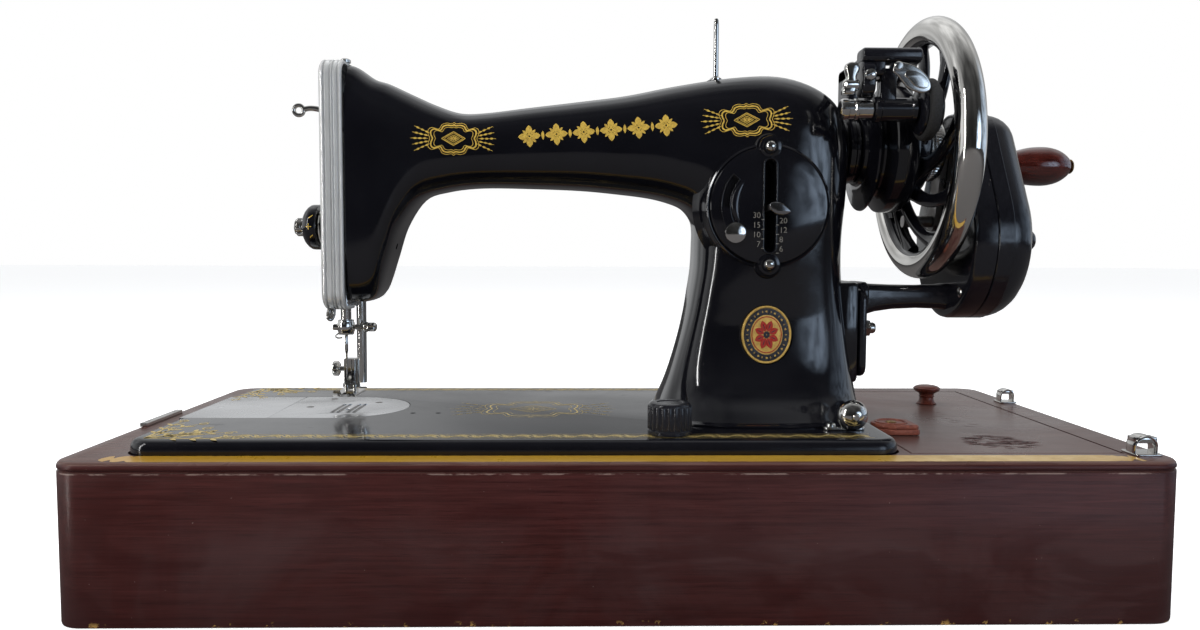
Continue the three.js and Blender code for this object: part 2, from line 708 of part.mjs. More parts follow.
// The spindle's bearing hangs from the bracket's pivot and swings towards the wheel.
function winderFrame() {
  const [y, z] = [WINDER.y, WINDER.z];
  const barrel = rodX(y, z, 6.6, 128, 150);
  const lug = slabX(roundRect(y - 4, y + 4, z, z + 20.5, 3.5), 131, 139);
  return cut(join(barrel, lug), rodX(y, z, bore(3, 18), 120, 155, 18), rodX(y, z + 16, bore(2), 120, 150));
}

function winderSpindle() {
  const profile = [
    [0, 111], [4, 111.3], [5.4, 112.4], [5.4, 120], [4.6, 120.6], [4.6, 127.4], [3, 127.8],
    [3, 150.6], [11, 150.8],
    [12.6, 152], [10.4, 154], [10.4, 157.4], [12.6, 159.4], [11, 161], [0, 161.4],
  ];
  return turned("x", [0, WINDER.y, WINDER.z], profile, 18);
}

function winderTyre() {
  const profile = [
    [12.9, 152.6], [14.6, 152.8], [15.6, 154], [15.6, 157.4], [14.6, 158.6], [12.9, 158.8],
    [12.9, 152.6],
  ];
  return turned("x", [0, WINDER.y, WINDER.z], profile, 24);
}

function winderWing() {
  const wing = new THREE.Shape();
  wing.moveTo(111, 252.6);
  wing.lineTo(117, 252.6);
  wing.lineTo(119.4, 258);
  wing.lineTo(119.8, 265);
  wing.absarc(116, 265, 3.8, 0, Math.PI, false);
  wing.lineTo(112.8, 258);
  const blade = slabY(wing, WINDER.y - 6, WINDER.y - 1, 8);
  return join(blade, box(112, 120.7, WINDER.y - 6, WINDER.y - 1, 256, 259));
}

function winderLatch() {
  const s = new THREE.Shape();
  s.moveTo(133, 266);
  s.lineTo(135, 268);
  s.lineTo(143, 266.6);
  s.lineTo(150, 261);
  s.absarc(148.4, 256.4, 3.6, Math.PI / 2 - 0.3, -Math.PI / 2, true);
  s.lineTo(142, 255);
  s.lineTo(138.6, 261);
  s.lineTo(134, 262.4);
  return join(slabY(s, -80.4, -78.8, 6), rodY(136, 265, 2, -80, -73.3));
}

// ---- bed fittings ----

function feedKnob() {
  const [x, y, r] = [24.5, -86, 11];
  const flutes = Array.from({ length: 12 }, (_, i) => {
    const a = (2 * Math.PI * i) / 12;
    return rodZ(x + (r + 1.1) * Math.cos(a), y + (r + 1.1) * Math.sin(a), 1.9, 86, 110, 6);
  });
  const profile = [[0, 84.3], [11, 84.3], [11, 97], [9.6, 99.6], [6, 100], [0, 100]];
  return cut(turned("z", [x, y, 0], profile, 36), ...flutes);
}

function winderTensionBracket() {
  const foot = slab(roundRect(103, 124, -80, -71.6, 3), BED.top, BED.top + 2);
  const upright = slabY(roundRect(111, 122, BED.top, 97, 4), -80, -77.6, 4);
  const stud = rodY(116.5, 92.2, 1.8, -89, -79, 14);
  return join(foot, upright, stud, rodZ(107, -76.5, 2.4, BED.top + 1, BED.top + 4));
}

function winderTensionDisc() {
  const profile = [
    [2.1, -80.5], [7.5, -80.5], [7.6, -81.5], [7, -83.6], [5.4, -85.8], [3.2, -87], [2.1, -87.2],
    [2.1, -80.5],
  ];
  return turned("y", [116.5, 0, 92.2], profile, 20);
}

// ---- hand crank ----

function pearShape(play) {
  const [R, r] = [HOUSING.big + play, HOUSING.small + play];
  const lean = Math.asin((R - r) / (SHAFT_Z - CRANK_Z));
  const s = new THREE.Shape();
  s.absarc(ARM_Y, SHAFT_Z, r, lean, Math.PI - lean, false);
  s.absarc(ARM_Y, CRANK_Z, R, Math.PI - lean, Math.PI * 2 + lean, false);
  return s;
}

function crankBracket() {
  const { back, seam, wall } = HOUSING;
  const cup = slabX(pearShape(0), back, seam, 10);
  const beam = slabX(roundRect(ARM_Y - 8, ARM_Y + 8, 141, 156, 4), 134, back + 4, 4);
  const pad = slabX(roundRect(ARM_Y - 19, ARM_Y + 19, 105, 154, 7), 133.3, 138, 5);
  return cut(
    join(cup, beam, pad),
    slabX(pearShape(-wall), back + wall, seam + 1, 10),
    rodX(ARM_Y, SHAFT_Z, bore(7), back - 2, seam),
    rodX(ARM_Y, 131, 3.4, 130, 160),
  );
}

function crankCover() {
  const { seam, front, wall } = HOUSING;
  const cup = join(
    slabX(pearShape(0), seam + 0.3, front - 3, 10),
    slabX(pearShape(-1.2), front - 3.2, front - 1.2, 10),
    slabX(pearShape(-3.4), front - 1.4, front, 10),
  );
  return cut(
    cup,
    slabX(pearShape(-wall), seam, front - wall, 10),
    rodX(ARM_Y, CRANK_Z, bore(7), seam, front + 2),
  );
}

// Straight-flanked teeth, cut a little thin so that the pair runs freely.
function gearShape(teeth, cy, cz, phase) {
  const [pitch, step] = [(MODULE * teeth) / 2, (2 * Math.PI) / teeth];
  const corners = [
    [pitch - 1.2 * MODULE, -0.28],
    [pitch + 0.9 * MODULE, -0.1],
    [pitch + 0.9 * MODULE, 0.1],
    [pitch - 1.2 * MODULE, 0.28],
  ];
  const points = [];
  for (let i = 0; i < teeth; i++) {
    corners.forEach(([r, at]) => {
      const a = phase + (i + at) * step;
      points.push(new THREE.Vector2(cy + r * Math.cos(a), cz + r * Math.sin(a)));
    });
  }
  return new THREE.Shape(points);
}

function crankGear() {
  const wheel = slabX(gearShape(GEAR_TEETH, ARM_Y, CRANK_Z, Math.PI / 2), 203, 211);
  const shaft = rodX(ARM_Y, CRANK_Z, 7, 201, 221.6);
  const neck = rodX(ARM_Y, CRANK_Z, 4.4, 221, 232);
  return join(wheel, shaft, neck);
}

// The pinion's shaft ends in an arm whose finger stands between two spokes of the hand wheel.
function crankPinion() {
  const phase = -Math.PI / 2 + Math.PI / PINION_TEETH;
  const wheel = slabX(gearShape(PINION_TEETH, ARM_Y, SHAFT_Z, phase), 203, 211);
  const shaft = rodX(ARM_Y, SHAFT_Z, 7, 183, 204);
  const arm = slabX(roundRect(-6, 6, -46, 8, 5), 182.4, 185.6, 4);
  const driver = join(arm, rodX(0, -41, 3.4, 166, 183));
  return join(wheel, shaft, driver.rotateX(0.26).translate(0, ARM_Y, SHAFT_Z));
}

function crankArm() {
  const [dy, dz] = [HANDLE.y - ARM_Y, HANDLE.z - CRANK_Z];
  const length = Math.hypot(dy, dz);
  const bar = new THREE.Shape();
  bar.absarc(0, 0, 12, 0.35, Math.PI * 2 - 0.35, false);
  bar.lineTo(length - 4, -6.4);
  bar.absarc(length, 0, 7.5, -1.9, 1.9, false);
  const blade = slabX(bar, 221.8, 228, 12);
  blade.rotateX(Math.atan2(dz, dy)).translate(0, ARM_Y, CRANK_Z);
  const rivet = [[0, 227], [3.4, 227], [3.4, 295.4], [4.6, 295.6], [3.4, 297], [0, 297.4]];
  const stud = turned("x", [0, HANDLE.y, HANDLE.z], rivet, 20);
  return cut(join(blade, stud), rodX(ARM_Y, CRANK_Z, 4.7, 215, 235));
}

function crankNut() {
  const hex = new THREE.Shape();
  for (let i = 0; i < 6; i++) {
    const a = (Math.PI * i) / 3;
    const [y, z] = [ARM_Y + 8 * Math.cos(a), CRANK_Z + 8 * Math.sin(a)];
    if (i) hex.lineTo(y, z);
    else hex.moveTo(y, z);
  }
  const body = slabX(hex, 228.3, 234);
  const dome = turned("x", [0, ARM_Y, CRANK_Z], [[0, 233], [6.4, 233], [5, 236.4], [2, 238], [0, 238.2]], 20);
  return cut(join(body, dome), rodX(ARM_Y, CRANK_Z, 4.7, 225, 232.3));
}

function crankHandle() {
  const profile = [
    [3.5, 229], [7.5, 229], [8, 231], [6.6, 233], [6.4, 238], [7, 246], [8.4, 257], [10.6, 266],
    [12.3, 275], [11.8, 282], [9.6, 288.5], [6.6, 293.4], [3.5, 295.2], [3.5, 229],
  ];
  return turned("x", [0, HANDLE.y, HANDLE.z], profile, 20);
}

function bracketScrew() {
  const profile = [
    [0, 134], [3, 134], [3, 138.3], [6.6, 138.3], [6.6, 139.6], [4.6, 139.8], [4.6, 145.4],
    [3.6, 147.6], [0, 148],
  ];
  return turned("x", [0, ARM_Y, 131], profile);
}

// ---- under the bed ----

function hookShaft() {
  return rodX(HOOK.y, HOOK.z, 4, -158, 84);
}

function shuttleHook() {
  const ring = [
    [4.6, -156.2], [17, -156.2], [18, -158], [18, -172], [15, -172], [15, -160], [4.6, -160],
    [4.6, -156.2],
  ];
  const gap = box(-175, -161, HOOK.y, HOOK.y + 30, HOOK.z - 6, HOOK.z + 6);
  const core = rodX(HOOK.y, HOOK.z, 4.7, -160, -156, 16);
  return join(cut(turned("x", [0, HOOK.y, HOOK.z], ring, 24), gap), core);
}

function feedDog() {
  const rows = [-158.6, -155.4, -149.8, -146.6].map((x) => box(x - 0.8, x + 0.8, -21, 1, 77, 83.7));
  const carrier = box(-160, -145, -5, 12, 75.6, 77.7);
  const bar = box(-156, -149, 8, 16, 68, 77.7);
  const rails = [box(-160, -154, -22, 10, 75.6, 77.7), box(-151, -145, -22, 10, 75.6, 77.7)];
  return join(...rows, carrier, bar, ...rails);
}

// ---- nodes ----

const M = MATERIAL;
node("base_walls", baseWalls(), M.wood);
node("base_floor", baseFloor(), M.wood);
node("base_top", baseTop(), M.wood);
node("catch_loop_front", catchLoop(251.5, -101, 12, 11.4, 4), M.chrome);
node("catch_loop_rear", catchLoop(257, 55, 9.6, 10, 4), M.chrome);
node("catch_tongue", catchTongue(), M.steel);
node("hinge_left", hingePost(-170), M.steel);
node("hinge_right", hingePost(70), M.steel);
node("compartment_lid", lidBoard(), M.wood);
node("lid_knob", lidKnob(), M.wood);
node("turn_button", turnButton(), M.wood);
node("bed", bedPlate(), M.japan);
node("arm", armCasting(), M.japan);
node("slide_plate", slidePlate(), M.chrome);
node("needle_plate", needlePlate(), M.chrome);
node("shaft_bushing", shaftBushing(), M.japan);
node("spool_pin", spoolPin(), M.chrome);
node("dial_plate", dialPlate(), M.japan);
node("dial_screw_top", dialScrew(DIAL_PLATE.z + DIAL_PLATE.ears[0]), M.chrome);
node("dial_screw_bottom", dialScrew(DIAL_PLATE.z + DIAL_PLATE.ears[1]), M.chrome);
node("stitch_lever", stitchLever(), M.chrome);
node("stop_nut", stopNut(), M.chrome);
node("badge", badgeShape(0, -50.6, -48.4), M.brass);
node("face_plate", facePlate(), M.chrome);
node("tension_stud", tensionStud(), M.chrome);
node("tension_dial", tensionDial(), M.japan);
node("tension_nut", tensionNut(), M.chrome);
node("take_up_lever", takeUpLever(), M.chrome);
node("needle_bar", needleBar(), M.chrome);
node("needle_clamp", needleClamp(), M.chrome);
node("clamp_screw", clampScrew(), M.chrome);
node("needle", needle(), M.chrome);
node("needle_link", needleLink(), M.steel);
node("presser_bar", presserBar(), M.chrome);
node("presser_foot", presserFoot(), M.chrome);
node("foot_screw", footScrew(), M.chrome);
node("presser_lifter", presserLifter(), M.chrome);
node("wheel_rim", wheelRim(), M.chrome);
node("wheel_spider", wheelSpider(), M.japan);
node("stop_motion_knob", stopMotionKnob(), M.chrome);
node("arm_shaft", armShaft(), M.steel);
node("winder_bracket", winderBracket(), M.japan);
node("winder_frame", winderFrame(), M.japan);
node("winder_spindle", winderSpindle(), M.chrome);
node("winder_tyre", winderTyre(), M.rubber);
node("winder_wing", winderWing(), M.chrome);
node("winder_latch", winderLatch(), M.chrome);
node("feed_knob", feedKnob(), M.japan);
node("winder_tension_bracket", winderTensionBracket(), M.chrome);
node("winder_tension_disc", winderTensionDisc(), M.chrome);
node("crank_bracket", crankBracket(), M.japan);
node("crank_cover", crankCover(), M.japan);
node("bracket_screw", bracketScrew(), M.chrome);
node("crank_gear", crankGear(), M.steel);
node("crank_pinion", crankPinion(), M.steel);
node("crank_arm", crankArm(), M.japan);
node("crank_nut", crankNut(), M.steel);
node("crank_handle", crankHandle(), M.handle);
node("shuttle_hook", join(shuttleHook(), hookShaft()), M.steel);
node("feed_dog", feedDog(), M.steel);

export default group;
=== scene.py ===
import math
import random

import bmesh
import bpy
from mathutils import Matrix, Vector
from mathutils.bvhtree import BVHTree
from mathutils.geometry import tessellate_polygon


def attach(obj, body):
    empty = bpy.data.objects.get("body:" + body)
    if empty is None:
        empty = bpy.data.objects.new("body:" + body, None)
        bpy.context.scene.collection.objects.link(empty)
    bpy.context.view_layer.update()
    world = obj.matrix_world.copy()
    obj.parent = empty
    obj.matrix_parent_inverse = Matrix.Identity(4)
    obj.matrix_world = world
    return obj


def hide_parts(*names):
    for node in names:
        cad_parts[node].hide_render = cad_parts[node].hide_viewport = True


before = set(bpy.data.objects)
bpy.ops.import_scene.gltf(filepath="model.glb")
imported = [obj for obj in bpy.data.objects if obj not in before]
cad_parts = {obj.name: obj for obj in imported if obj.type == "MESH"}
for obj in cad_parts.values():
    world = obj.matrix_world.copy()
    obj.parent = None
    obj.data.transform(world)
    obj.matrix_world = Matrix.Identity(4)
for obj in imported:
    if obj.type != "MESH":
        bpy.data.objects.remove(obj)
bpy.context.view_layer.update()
MM = 0.001
TAU = 2 * math.pi
FRONT = Vector((0, -1, 0))
UP = Vector((0, 0, 1))

# Places in millimetres. A pair is where an axis stands: (Y, Z) along X, (X, Z) along Y, (X, Y) along Z.
TOP = 77.0
HALF_W, HALF_D = 263.0, 120.0
BED_TOP = 84
ARM_Y = -15
FACE_X = -159
AXIS = (ARM_Y, 231.5)
CRANK = (ARM_Y, 181)
HANDLE = (58, 230)
PAD_SCREW = (ARM_Y, 131)
DIAL = (79, 198)
DIAL_EARS = (30.6, -30.6)
BADGE = (79, 130)
TENSION = (-20, 187)
TAKE_UP = (-144, 229)
NEEDLE = (-152.6, -14)
PRESSER = (-146.6, -3)
WINDER = (-66, 246)
SPOOL = (55.5, ARM_Y)
THREAD_STUD = (116.5, 92.2)


# ---------------------------------------------------------------- camera

def make_camera():
    """A camera standing in front of the machine, a little below the arm and looking slightly down."""
    yaw, pitch, roll = -0.0177, 0.0645, 0.0029
    forward = Vector((-math.sin(yaw) * math.cos(pitch), math.cos(yaw) * math.cos(pitch), -math.sin(pitch)))
    level = Vector((math.cos(yaw), math.sin(yaw), 0))
    upright = level.cross(forward)
    right = math.cos(roll) * level + math.sin(roll) * upright
    up = math.cos(roll) * upright - math.sin(roll) * level
    data = bpy.data.cameras.new("camera")
    data.sensor_width = 36
    data.lens = 27.49
    data.clip_start = 0.02
    camera = bpy.data.objects.new("camera", data)
    columns = [right, up, -forward, Vector((-0.0181, -0.5339, 0.1716))]
    camera.matrix_world = Matrix([[c[i] for c in columns] for i in range(3)] + [[0, 0, 0, 1]])
    bpy.context.scene.collection.objects.link(camera)
    bpy.context.scene.camera = camera


make_camera()


# ---------------------------------------------------------------- materials

def rgba(value):
    """A colour for a socket: three numbers, or one for a grey."""
    return (*value, 1) if isinstance(value, tuple) else (value, value, value, 1)


class Tree:
    """A short way to build a node tree."""

    def __init__(self, tree):
        self.tree = tree

    def feed(self, socket, value):
        """Links a value into a socket, or sets it on the socket itself."""
        if isinstance(value, bpy.types.NodeSocket):
            self.tree.links.new(value, socket)
        else:
            socket.default_value = rgba(value) if socket.type == "RGBA" else value

    def add(self, kind, **values):
        made = self.tree.nodes.new("ShaderNode" + kind)
        for key, value in values.items():
            self.feed(made.inputs[key.replace("_", " ")], value)
        return made

    def math(self, operation, a, b=0.0):
        made = self.tree.nodes.new("ShaderNodeMath")
        made.operation = operation
        self.feed(made.inputs[0], a)
        self.feed(made.inputs[1], b)
        return made.outputs[0]

    def times(self, a, b):
        return self.math("MULTIPLY", a, b)

    def blend(self, kind, *inputs):
        """A node whose inputs are fed in their order."""
        made = self.tree.nodes.new("ShaderNode" + kind)
        for socket, value in zip(made.inputs, inputs):
            self.feed(socket, value)
        return made.outputs[0]


class Nodes(Tree):
    """A short way to build a node material."""

    def __init__(self, name):
        self.material = bpy.data.materials.new(name)
        self.material.use_nodes = True
        super().__init__(self.material.node_tree)
        self.shader = self.tree.nodes["Principled BSDF"]

    def place(self, scale=(1, 1, 1), offset=(0, 0, 0)):
        """Object coordinates in millimetres, stretched by scale."""
        where = self.add("TexCoord").outputs["Object"]
        size = tuple(1000 * s for s in scale)
        return self.add("Mapping", Vector=where, Scale=size, Location=offset).outputs["Vector"]

    def noise(self, vector, scale, detail=3, rough=0.55, warp=0.0):
        made = self.add(
            "TexNoise", Vector=vector, Scale=scale, Detail=detail, Roughness=rough, Distortion=warp,
        )
        return made.outputs["Fac"]

    def ramp(self, value, *stops, smooth=False):
        made = self.add("ValToRGB", Fac=value)
        made.color_ramp.interpolation = "EASE" if smooth else "LINEAR"
        points = made.color_ramp.elements
        while len(points) < len(stops):
            points.new(0.5)
        for point, (at, color) in zip(points, stops):
            point.position = at
            point.color = rgba(color)
        return made.outputs["Color"]

    def step(self, value, low, high):
        return self.ramp(value, (low, 0.0), (high, 1.0))

    def mix(self, amount, a, b):
        made = self.tree.nodes.new("ShaderNodeMix")
        made.data_type = "RGBA"
        for i, value in ((0, amount), (6, a), (7, b)):
            self.feed(made.inputs[i], value)
        return made.outputs[2]

    def bump(self, height, distance_mm, strength=0.5, under=None):
        values = dict(Height=height, Distance=distance_mm * MM, Strength=strength)
        if under is not None:
            values["Normal"] = under
        return self.add("Bump", **values).outputs["Normal"]

    def finish(self, **values):
        for key, value in values.items():
            self.feed(self.shader.inputs[key.replace("_", " ")], value)
        return self.material


def japan_enamel(name="japan_enamel", coat=0.5, low=0.07, high=0.17):
    """Gloss black stove enamel with a faint orange peel, dust and hairline scratches."""
    n = Nodes(name)
    at = n.place()
    haze = n.noise(at, 0.03, 4)
    dust = n.step(n.noise(at, 1.9, 2, 0.7), 0.66, 0.74)
    scratch = n.step(n.noise(n.place((0.05, 0.05, 1.2)), 1.2, 2, 0.6), 0.69, 0.72)
    color = n.mix(haze, (0.0022, 0.0022, 0.0034), (0.0055, 0.0055, 0.008))
    color = n.mix(n.times(dust, 0.3), color, (0.04, 0.042, 0.05))
    rough = n.ramp(haze, (0.35, low), (0.7, high))
    rough = n.mix(n.times(scratch, 0.4), rough, 0.4)
    bump = n.bump(n.noise(at, 0.22, 2), 0.05, 0.35)
    bump = n.bump(dust, 0.03, 0.3, bump)
    return n.finish(Base_Color=color, Roughness=rough, Normal=bump, Coat_Weight=coat, Coat_Roughness=0.05)


def black_casting():
    """Thicker black paint over rough cast iron, chipped to bare metal here and there."""
    n = Nodes("black_casting")
    at = n.place()
    grain = n.noise(at, 0.5, 4, 0.6)
    chips = n.step(n.noise(at, 0.16, 6, 0.7), 0.70, 0.715)
    color = n.mix(grain, (0.003, 0.003, 0.0045), (0.010, 0.010, 0.014))
    color = n.mix(chips, color, (0.12, 0.1, 0.085))
    rough = n.mix(chips, n.ramp(grain, (0.3, 0.10), (0.75, 0.24)), 0.55)
    bump = n.bump(grain, 0.12, 0.4)
    bump = n.bump(n.math("SUBTRACT", 1.0, chips), 0.06, 0.5, bump)
    return n.finish(Base_Color=color, Roughness=rough, Normal=bump, Coat_Weight=0.35, Coat_Roughness=0.1)


def chrome(name, tint=(0.80, 0.79, 0.77), rough=0.07, pitted=0.3):
    """Bright plating with faint polishing lines, dull spots and small pits."""
    n = Nodes(name)
    at = n.place()
    cloud = n.noise(at, 0.06, 5, 0.6)
    pits = n.step(n.noise(at, 0.9, 5, 0.75), 0.66, 0.72)
    pits = n.times(pits, pitted)
    lines = n.noise(n.place((4, 4, 0.2)), 0.8, 2)
    color = n.mix(cloud, tint, (tint[0] * 0.86, tint[1] * 0.85, tint[2] * 0.83))
    color = n.mix(pits, color, (0.17, 0.13, 0.1))
    spread = n.ramp(cloud, (0.3, rough * 0.7), (0.75, rough * 2.2))
    spread = n.mix(pits, spread, 0.5)
    bump = n.bump(lines, 0.01, 0.25)
    return n.finish(Base_Color=color, Roughness=spread, Metallic=1.0, Normal=bump)


def engraved_chrome():
    """Nickel face plate: polished ribs between bands of fine tooled cross lines."""
    n = Nodes("engraved_chrome")
    at = n.place()
    place = n.add("SeparateXYZ", Vector=at)
    cloud = n.noise(at, 0.08, 5, 0.6)
    wave = n.math("SINE", n.times(place.outputs["Z"], 4.6))
    cross = n.math("SINE", n.times(place.outputs["X"], 5.5))
    tooled = n.times(wave, cross)
    across = n.math("SINE", n.math("ADD", n.times(place.outputs["X"], 1.36), 0.3))
    band = n.step(across, 0.1, 0.35)
    height = n.times(tooled, band)
    color = n.mix(cloud, (0.84, 0.84, 0.83), (0.66, 0.66, 0.65))
    color = n.mix(n.times(band, 0.4), color, (0.46, 0.46, 0.45))
    rough = n.mix(band, 0.12, 0.34)
    bump = n.bump(height, 0.12, 0.8)
    return n.finish(Base_Color=color, Roughness=rough, Metallic=0.5, Normal=bump)


def steel(name="machined_steel", tint=0.42, rough=0.3):
    """Oiled bare steel with turning marks."""
    n = Nodes(name)
    at = n.place()
    stain = n.noise(at, 0.12, 5, 0.65)
    marks = n.noise(n.place((0.4, 6, 6)), 0.9, 2)
    color = n.mix(stain, (tint, tint, tint * 1.02), (tint * 0.5, tint * 0.44, tint * 0.38))
    spread = n.ramp(stain, (0.3, rough * 0.7), (0.7, rough * 1.7))
    return n.finish(Base_Color=color, Roughness=spread, Metallic=1.0, Normal=n.bump(marks, 0.03, 0.4))


def varnished_wood(name, dark, light, along="x", glare=0.32, coat=0.1, level=0.32, tint=(1, 0.86, 0.82)):
    """Dark red-brown varnish over fine straight grain, rubbed, and chipped to ochre low down, with a painted
    highlight along the lower lip of the groove.
    """
    n = Nodes(name)
    stretch = {"x": (0.03, 1, 1), "y": (1, 0.03, 1), "z": (1, 1, 0.03)}[along]
    grain = n.noise(n.place(stretch), 0.55, 7, 0.62, 0.3)
    pores = n.ramp(
        n.noise(n.place(tuple(s * (1 if s == 1 else 0.6) for s in stretch)), 2.4, 3), (0.36, 1.0),
        (0.44, 0.0)
    )
    at = n.place()
    height = n.add("SeparateXYZ", Vector=at).outputs["Z"]
    high = n.ramp(n.math("DIVIDE", height, 100.0), (0.30, 0.0), (0.62, 1.0), smooth=True)
    patch = n.noise(at, 0.011, 4, 0.6, 0.8)
    smudge = n.step(n.noise(n.place((0.5, 1, 1.3)), 0.02, 3, 0.5, 1.6), 0.52, 0.60)
    contrast = n.mix(high, 0.45, 1)
    color = n.mix(n.step(grain, 0.3, 0.72), dark, light)
    color = n.mix(n.mix(contrast, 0.5, 0), color, tuple((a + b) / 2 for a, b in zip(dark, light)))
    color = n.mix(n.times(pores, 0.5), color, (dark[0] * 0.35, dark[1] * 0.3, dark[2] * 0.3))
    haze = n.step(patch, 0.38, 0.70)
    low_haze = n.times(haze, n.math("SUBTRACT", 1.0, n.times(high, 0.85)))
    color = n.mix(n.times(low_haze, 0.55), color, (light[0] * 1.05, light[0] * 0.62, light[0] * 0.62))
    color = n.mix(n.times(smudge, 0.4), color, (dark[0] * 1.1, dark[1] * 0.8, dark[2] * 0.8))
    speck = n.step(n.noise(at, 0.42, 4, 0.6), 0.745, 0.76)
    color = n.mix(n.times(speck, 0.6), color, (0.22, 0.17, 0.15))
    # Painted highlight: a pale broken line on the lower lip of the groove below the top edge, standing in for
    # the light that lip catches.
    groove_highlight = n.ramp(
        n.math("SUBTRACT", n.math("DIVIDE", height, 10.0), 6.6), (0.53, 0.0), (0.57, 1.0), (0.60, 1.0),
        (0.62, 0.0),
    )
    groove_highlight = n.times(groove_highlight, n.step(n.noise(n.place((0.35, 1, 1)), 0.22, 4, 0.7), 0.47, 0.56))
    edge = n.ramp(n.math("DIVIDE", height, 10.0), (0.1, 1.0), (0.34, 0.0))
    chip = n.step(n.noise(at, 0.13, 5, 0.7), 0.60, 0.62)
    chip = n.times(chip, edge)
    color = n.mix(n.times(groove_highlight, 0.45), color, (0.36, 0.27, 0.23))
    color = n.mix(chip, color, (0.42, 0.24, 0.07))
    rough = n.mix(haze, glare, glare * 1.5)
    rough = n.mix(chip, rough, 0.7)
    bump = n.bump(grain, 0.1, 0.3)
    bump = n.bump(pores, 0.05, 0.35, bump)
    bump = n.bump(n.noise(at, 0.035, 3), 0.3, 0.3, bump)
    return n.finish(
        Base_Color=color, Roughness=rough, Normal=bump, Coat_Weight=coat, Coat_Roughness=0.2,
        Specular_IOR_Level=level, Specular_Tint=tint,
    )


def gilding(name="gilding", tint=(0.86, 0.58, 0.10), metal=0.35):
    """Bronze-powder transfer gold, rubbed thin in places."""
    n = Nodes(name)
    at = n.place()
    worn = n.noise(at, 0.5, 5, 0.7)
    color = n.mix(n.step(worn, 0.35, 0.7), tint, (tint[0] * 0.6, tint[1] * 0.55, tint[2] * 0.6))
    return n.finish(
        Base_Color=color, Roughness=n.ramp(worn, (0.3, 0.28), (0.7, 0.5)), Metallic=metal,
        Normal=n.bump(n.noise(at, 3.0, 2), 0.02, 0.4),
    )


def inlay_gold():
    """Varnished straw-gold strip: amber at the left, paler and worn towards the right."""
    n = Nodes("inlay_gold")
    at = n.place()
    x = n.add("SeparateXYZ", Vector=at).outputs["X"]
    share = n.math("ADD", n.math("DIVIDE", x, 520.0), 0.5)
    base = n.ramp(
        share, (0.0, (0.50, 0.27, 0.018)), (0.72, (0.60, 0.36, 0.04)), (0.8, (0.66, 0.45, 0.12)),
        (1.0, (0.58, 0.36, 0.08)),
    )
    flecks = n.step(n.noise(n.place((0.12, 1, 1)), 1.4, 6, 0.72), 0.60, 0.66)
    cloud = n.noise(at, 0.08, 5, 0.65)
    color = n.mix(n.ramp(cloud, (0.35, 0.0), (0.7, 0.55)), base, (0.36, 0.19, 0.04))
    color = n.mix(n.times(flecks, 0.7), color, (0.09, 0.04, 0.02))
    return n.finish(Base_Color=color, Roughness=n.ramp(cloud, (0.3, 0.25), (0.7, 0.45)), Metallic=0.25,
                    Normal=n.bump(cloud, 0.1, 0.3), Coat_Weight=0.4, Coat_Roughness=0.2)


def lacquer():
    """Deep red-brown lacquered wood of the handle."""
    n = Nodes("handle_lacquer")
    grain = n.noise(n.place((0.06, 1, 1)), 0.8, 5, 0.6, 0.4)
    color = n.mix(n.step(grain, 0.3, 0.7), (0.026, 0.003, 0.0022), (0.088, 0.012, 0.007))
    return n.finish(Base_Color=color, Roughness=n.ramp(grain, (0.3, 0.1), (0.7, 0.22)),
                    Normal=n.bump(grain, 0.05, 0.3), Coat_Weight=1.0, Coat_Roughness=0.04)


def plain_gloss(name, a, b, rough=0.25, scale=0.6, bumpiness=0.04, metallic=0.0):
    """A small part's finish: two close tones clouded together, with a fine texture."""
    n = Nodes(name)
    at = n.place()
    cloud = n.noise(at, scale, 4, 0.6)
    return n.finish(
        Base_Color=n.mix(cloud, a, b), Roughness=n.ramp(cloud, (0.3, rough * 0.7), (0.7, rough * 1.4)),
        Metallic=metallic, Normal=n.bump(n.noise(at, scale * 4, 2), bumpiness, 0.5),
    )


JAPAN = japan_enamel()
BED_ENAMEL = japan_enamel("bed_enamel", 0.15, 0.1, 0.2)
CASTING = black_casting()
CHROME = chrome("bright_chrome")
WORN_CHROME = chrome("worn_chrome", (0.72, 0.71, 0.69), 0.14, 0.75)
PLATE_CHROME = chrome("plate_chrome", (0.90, 0.91, 0.93), 0.17, 0.4)
ENGRAVED = engraved_chrome()
STEEL = steel()
WOOD = varnished_wood("mahogany_front", (0.024, 0.0050, 0.0045), (0.064, 0.0160, 0.0142))
WOOD_TOP = varnished_wood(
    "mahogany_top", (0.055, 0.025, 0.020), (0.115, 0.060, 0.049), glare=0.24, coat=0.1, level=0.3,
)
WOOD_TURNED = varnished_wood("mahogany_turned", (0.05, 0.009, 0.006), (0.15, 0.035, 0.02), "z", 0.2)
GOLD = gilding()
INLAY = inlay_gold()
LACQUER = lacquer()
PLASTIC = plain_gloss("black_bakelite", (0.006, 0.006, 0.008), (0.016, 0.016, 0.02), 0.2)
RUBBER = plain_gloss("winder_rubber", (0.012, 0.012, 0.013), (0.03, 0.029, 0.028), 0.75, 0.9, 0.12)
IVORY = plain_gloss("dial_paint", (0.30, 0.28, 0.24), (0.10, 0.09, 0.08), 0.5, 0.9)
DARK_CHROME = chrome("dark_chrome", (0.42, 0.42, 0.44), 0.12, 0.4)
RED = plain_gloss("badge_red", (0.40, 0.03, 0.02), (0.22, 0.015, 0.01), 0.3)
INK = plain_gloss("badge_ink", (0.012, 0.014, 0.02), (0.03, 0.03, 0.035), 0.3)
WOOD_SIDE = varnished_wood("mahogany_side", (0.024, 0.0050, 0.0045), (0.064, 0.0160, 0.0142), "y")
WOOD_WORN = varnished_wood("worn_mahogany", (0.12, 0.028, 0.018), (0.27, 0.085, 0.05), "y", 0.35)
BRASS = plain_gloss("dull_brass", (0.42, 0.27, 0.09), (0.24, 0.14, 0.05), 0.35, 0.8, 0.05, 1.0)
RUBBED = plain_gloss("rubbed_varnish", (0.045, 0.010, 0.009), (0.085, 0.020, 0.017), 0.45, 0.5)
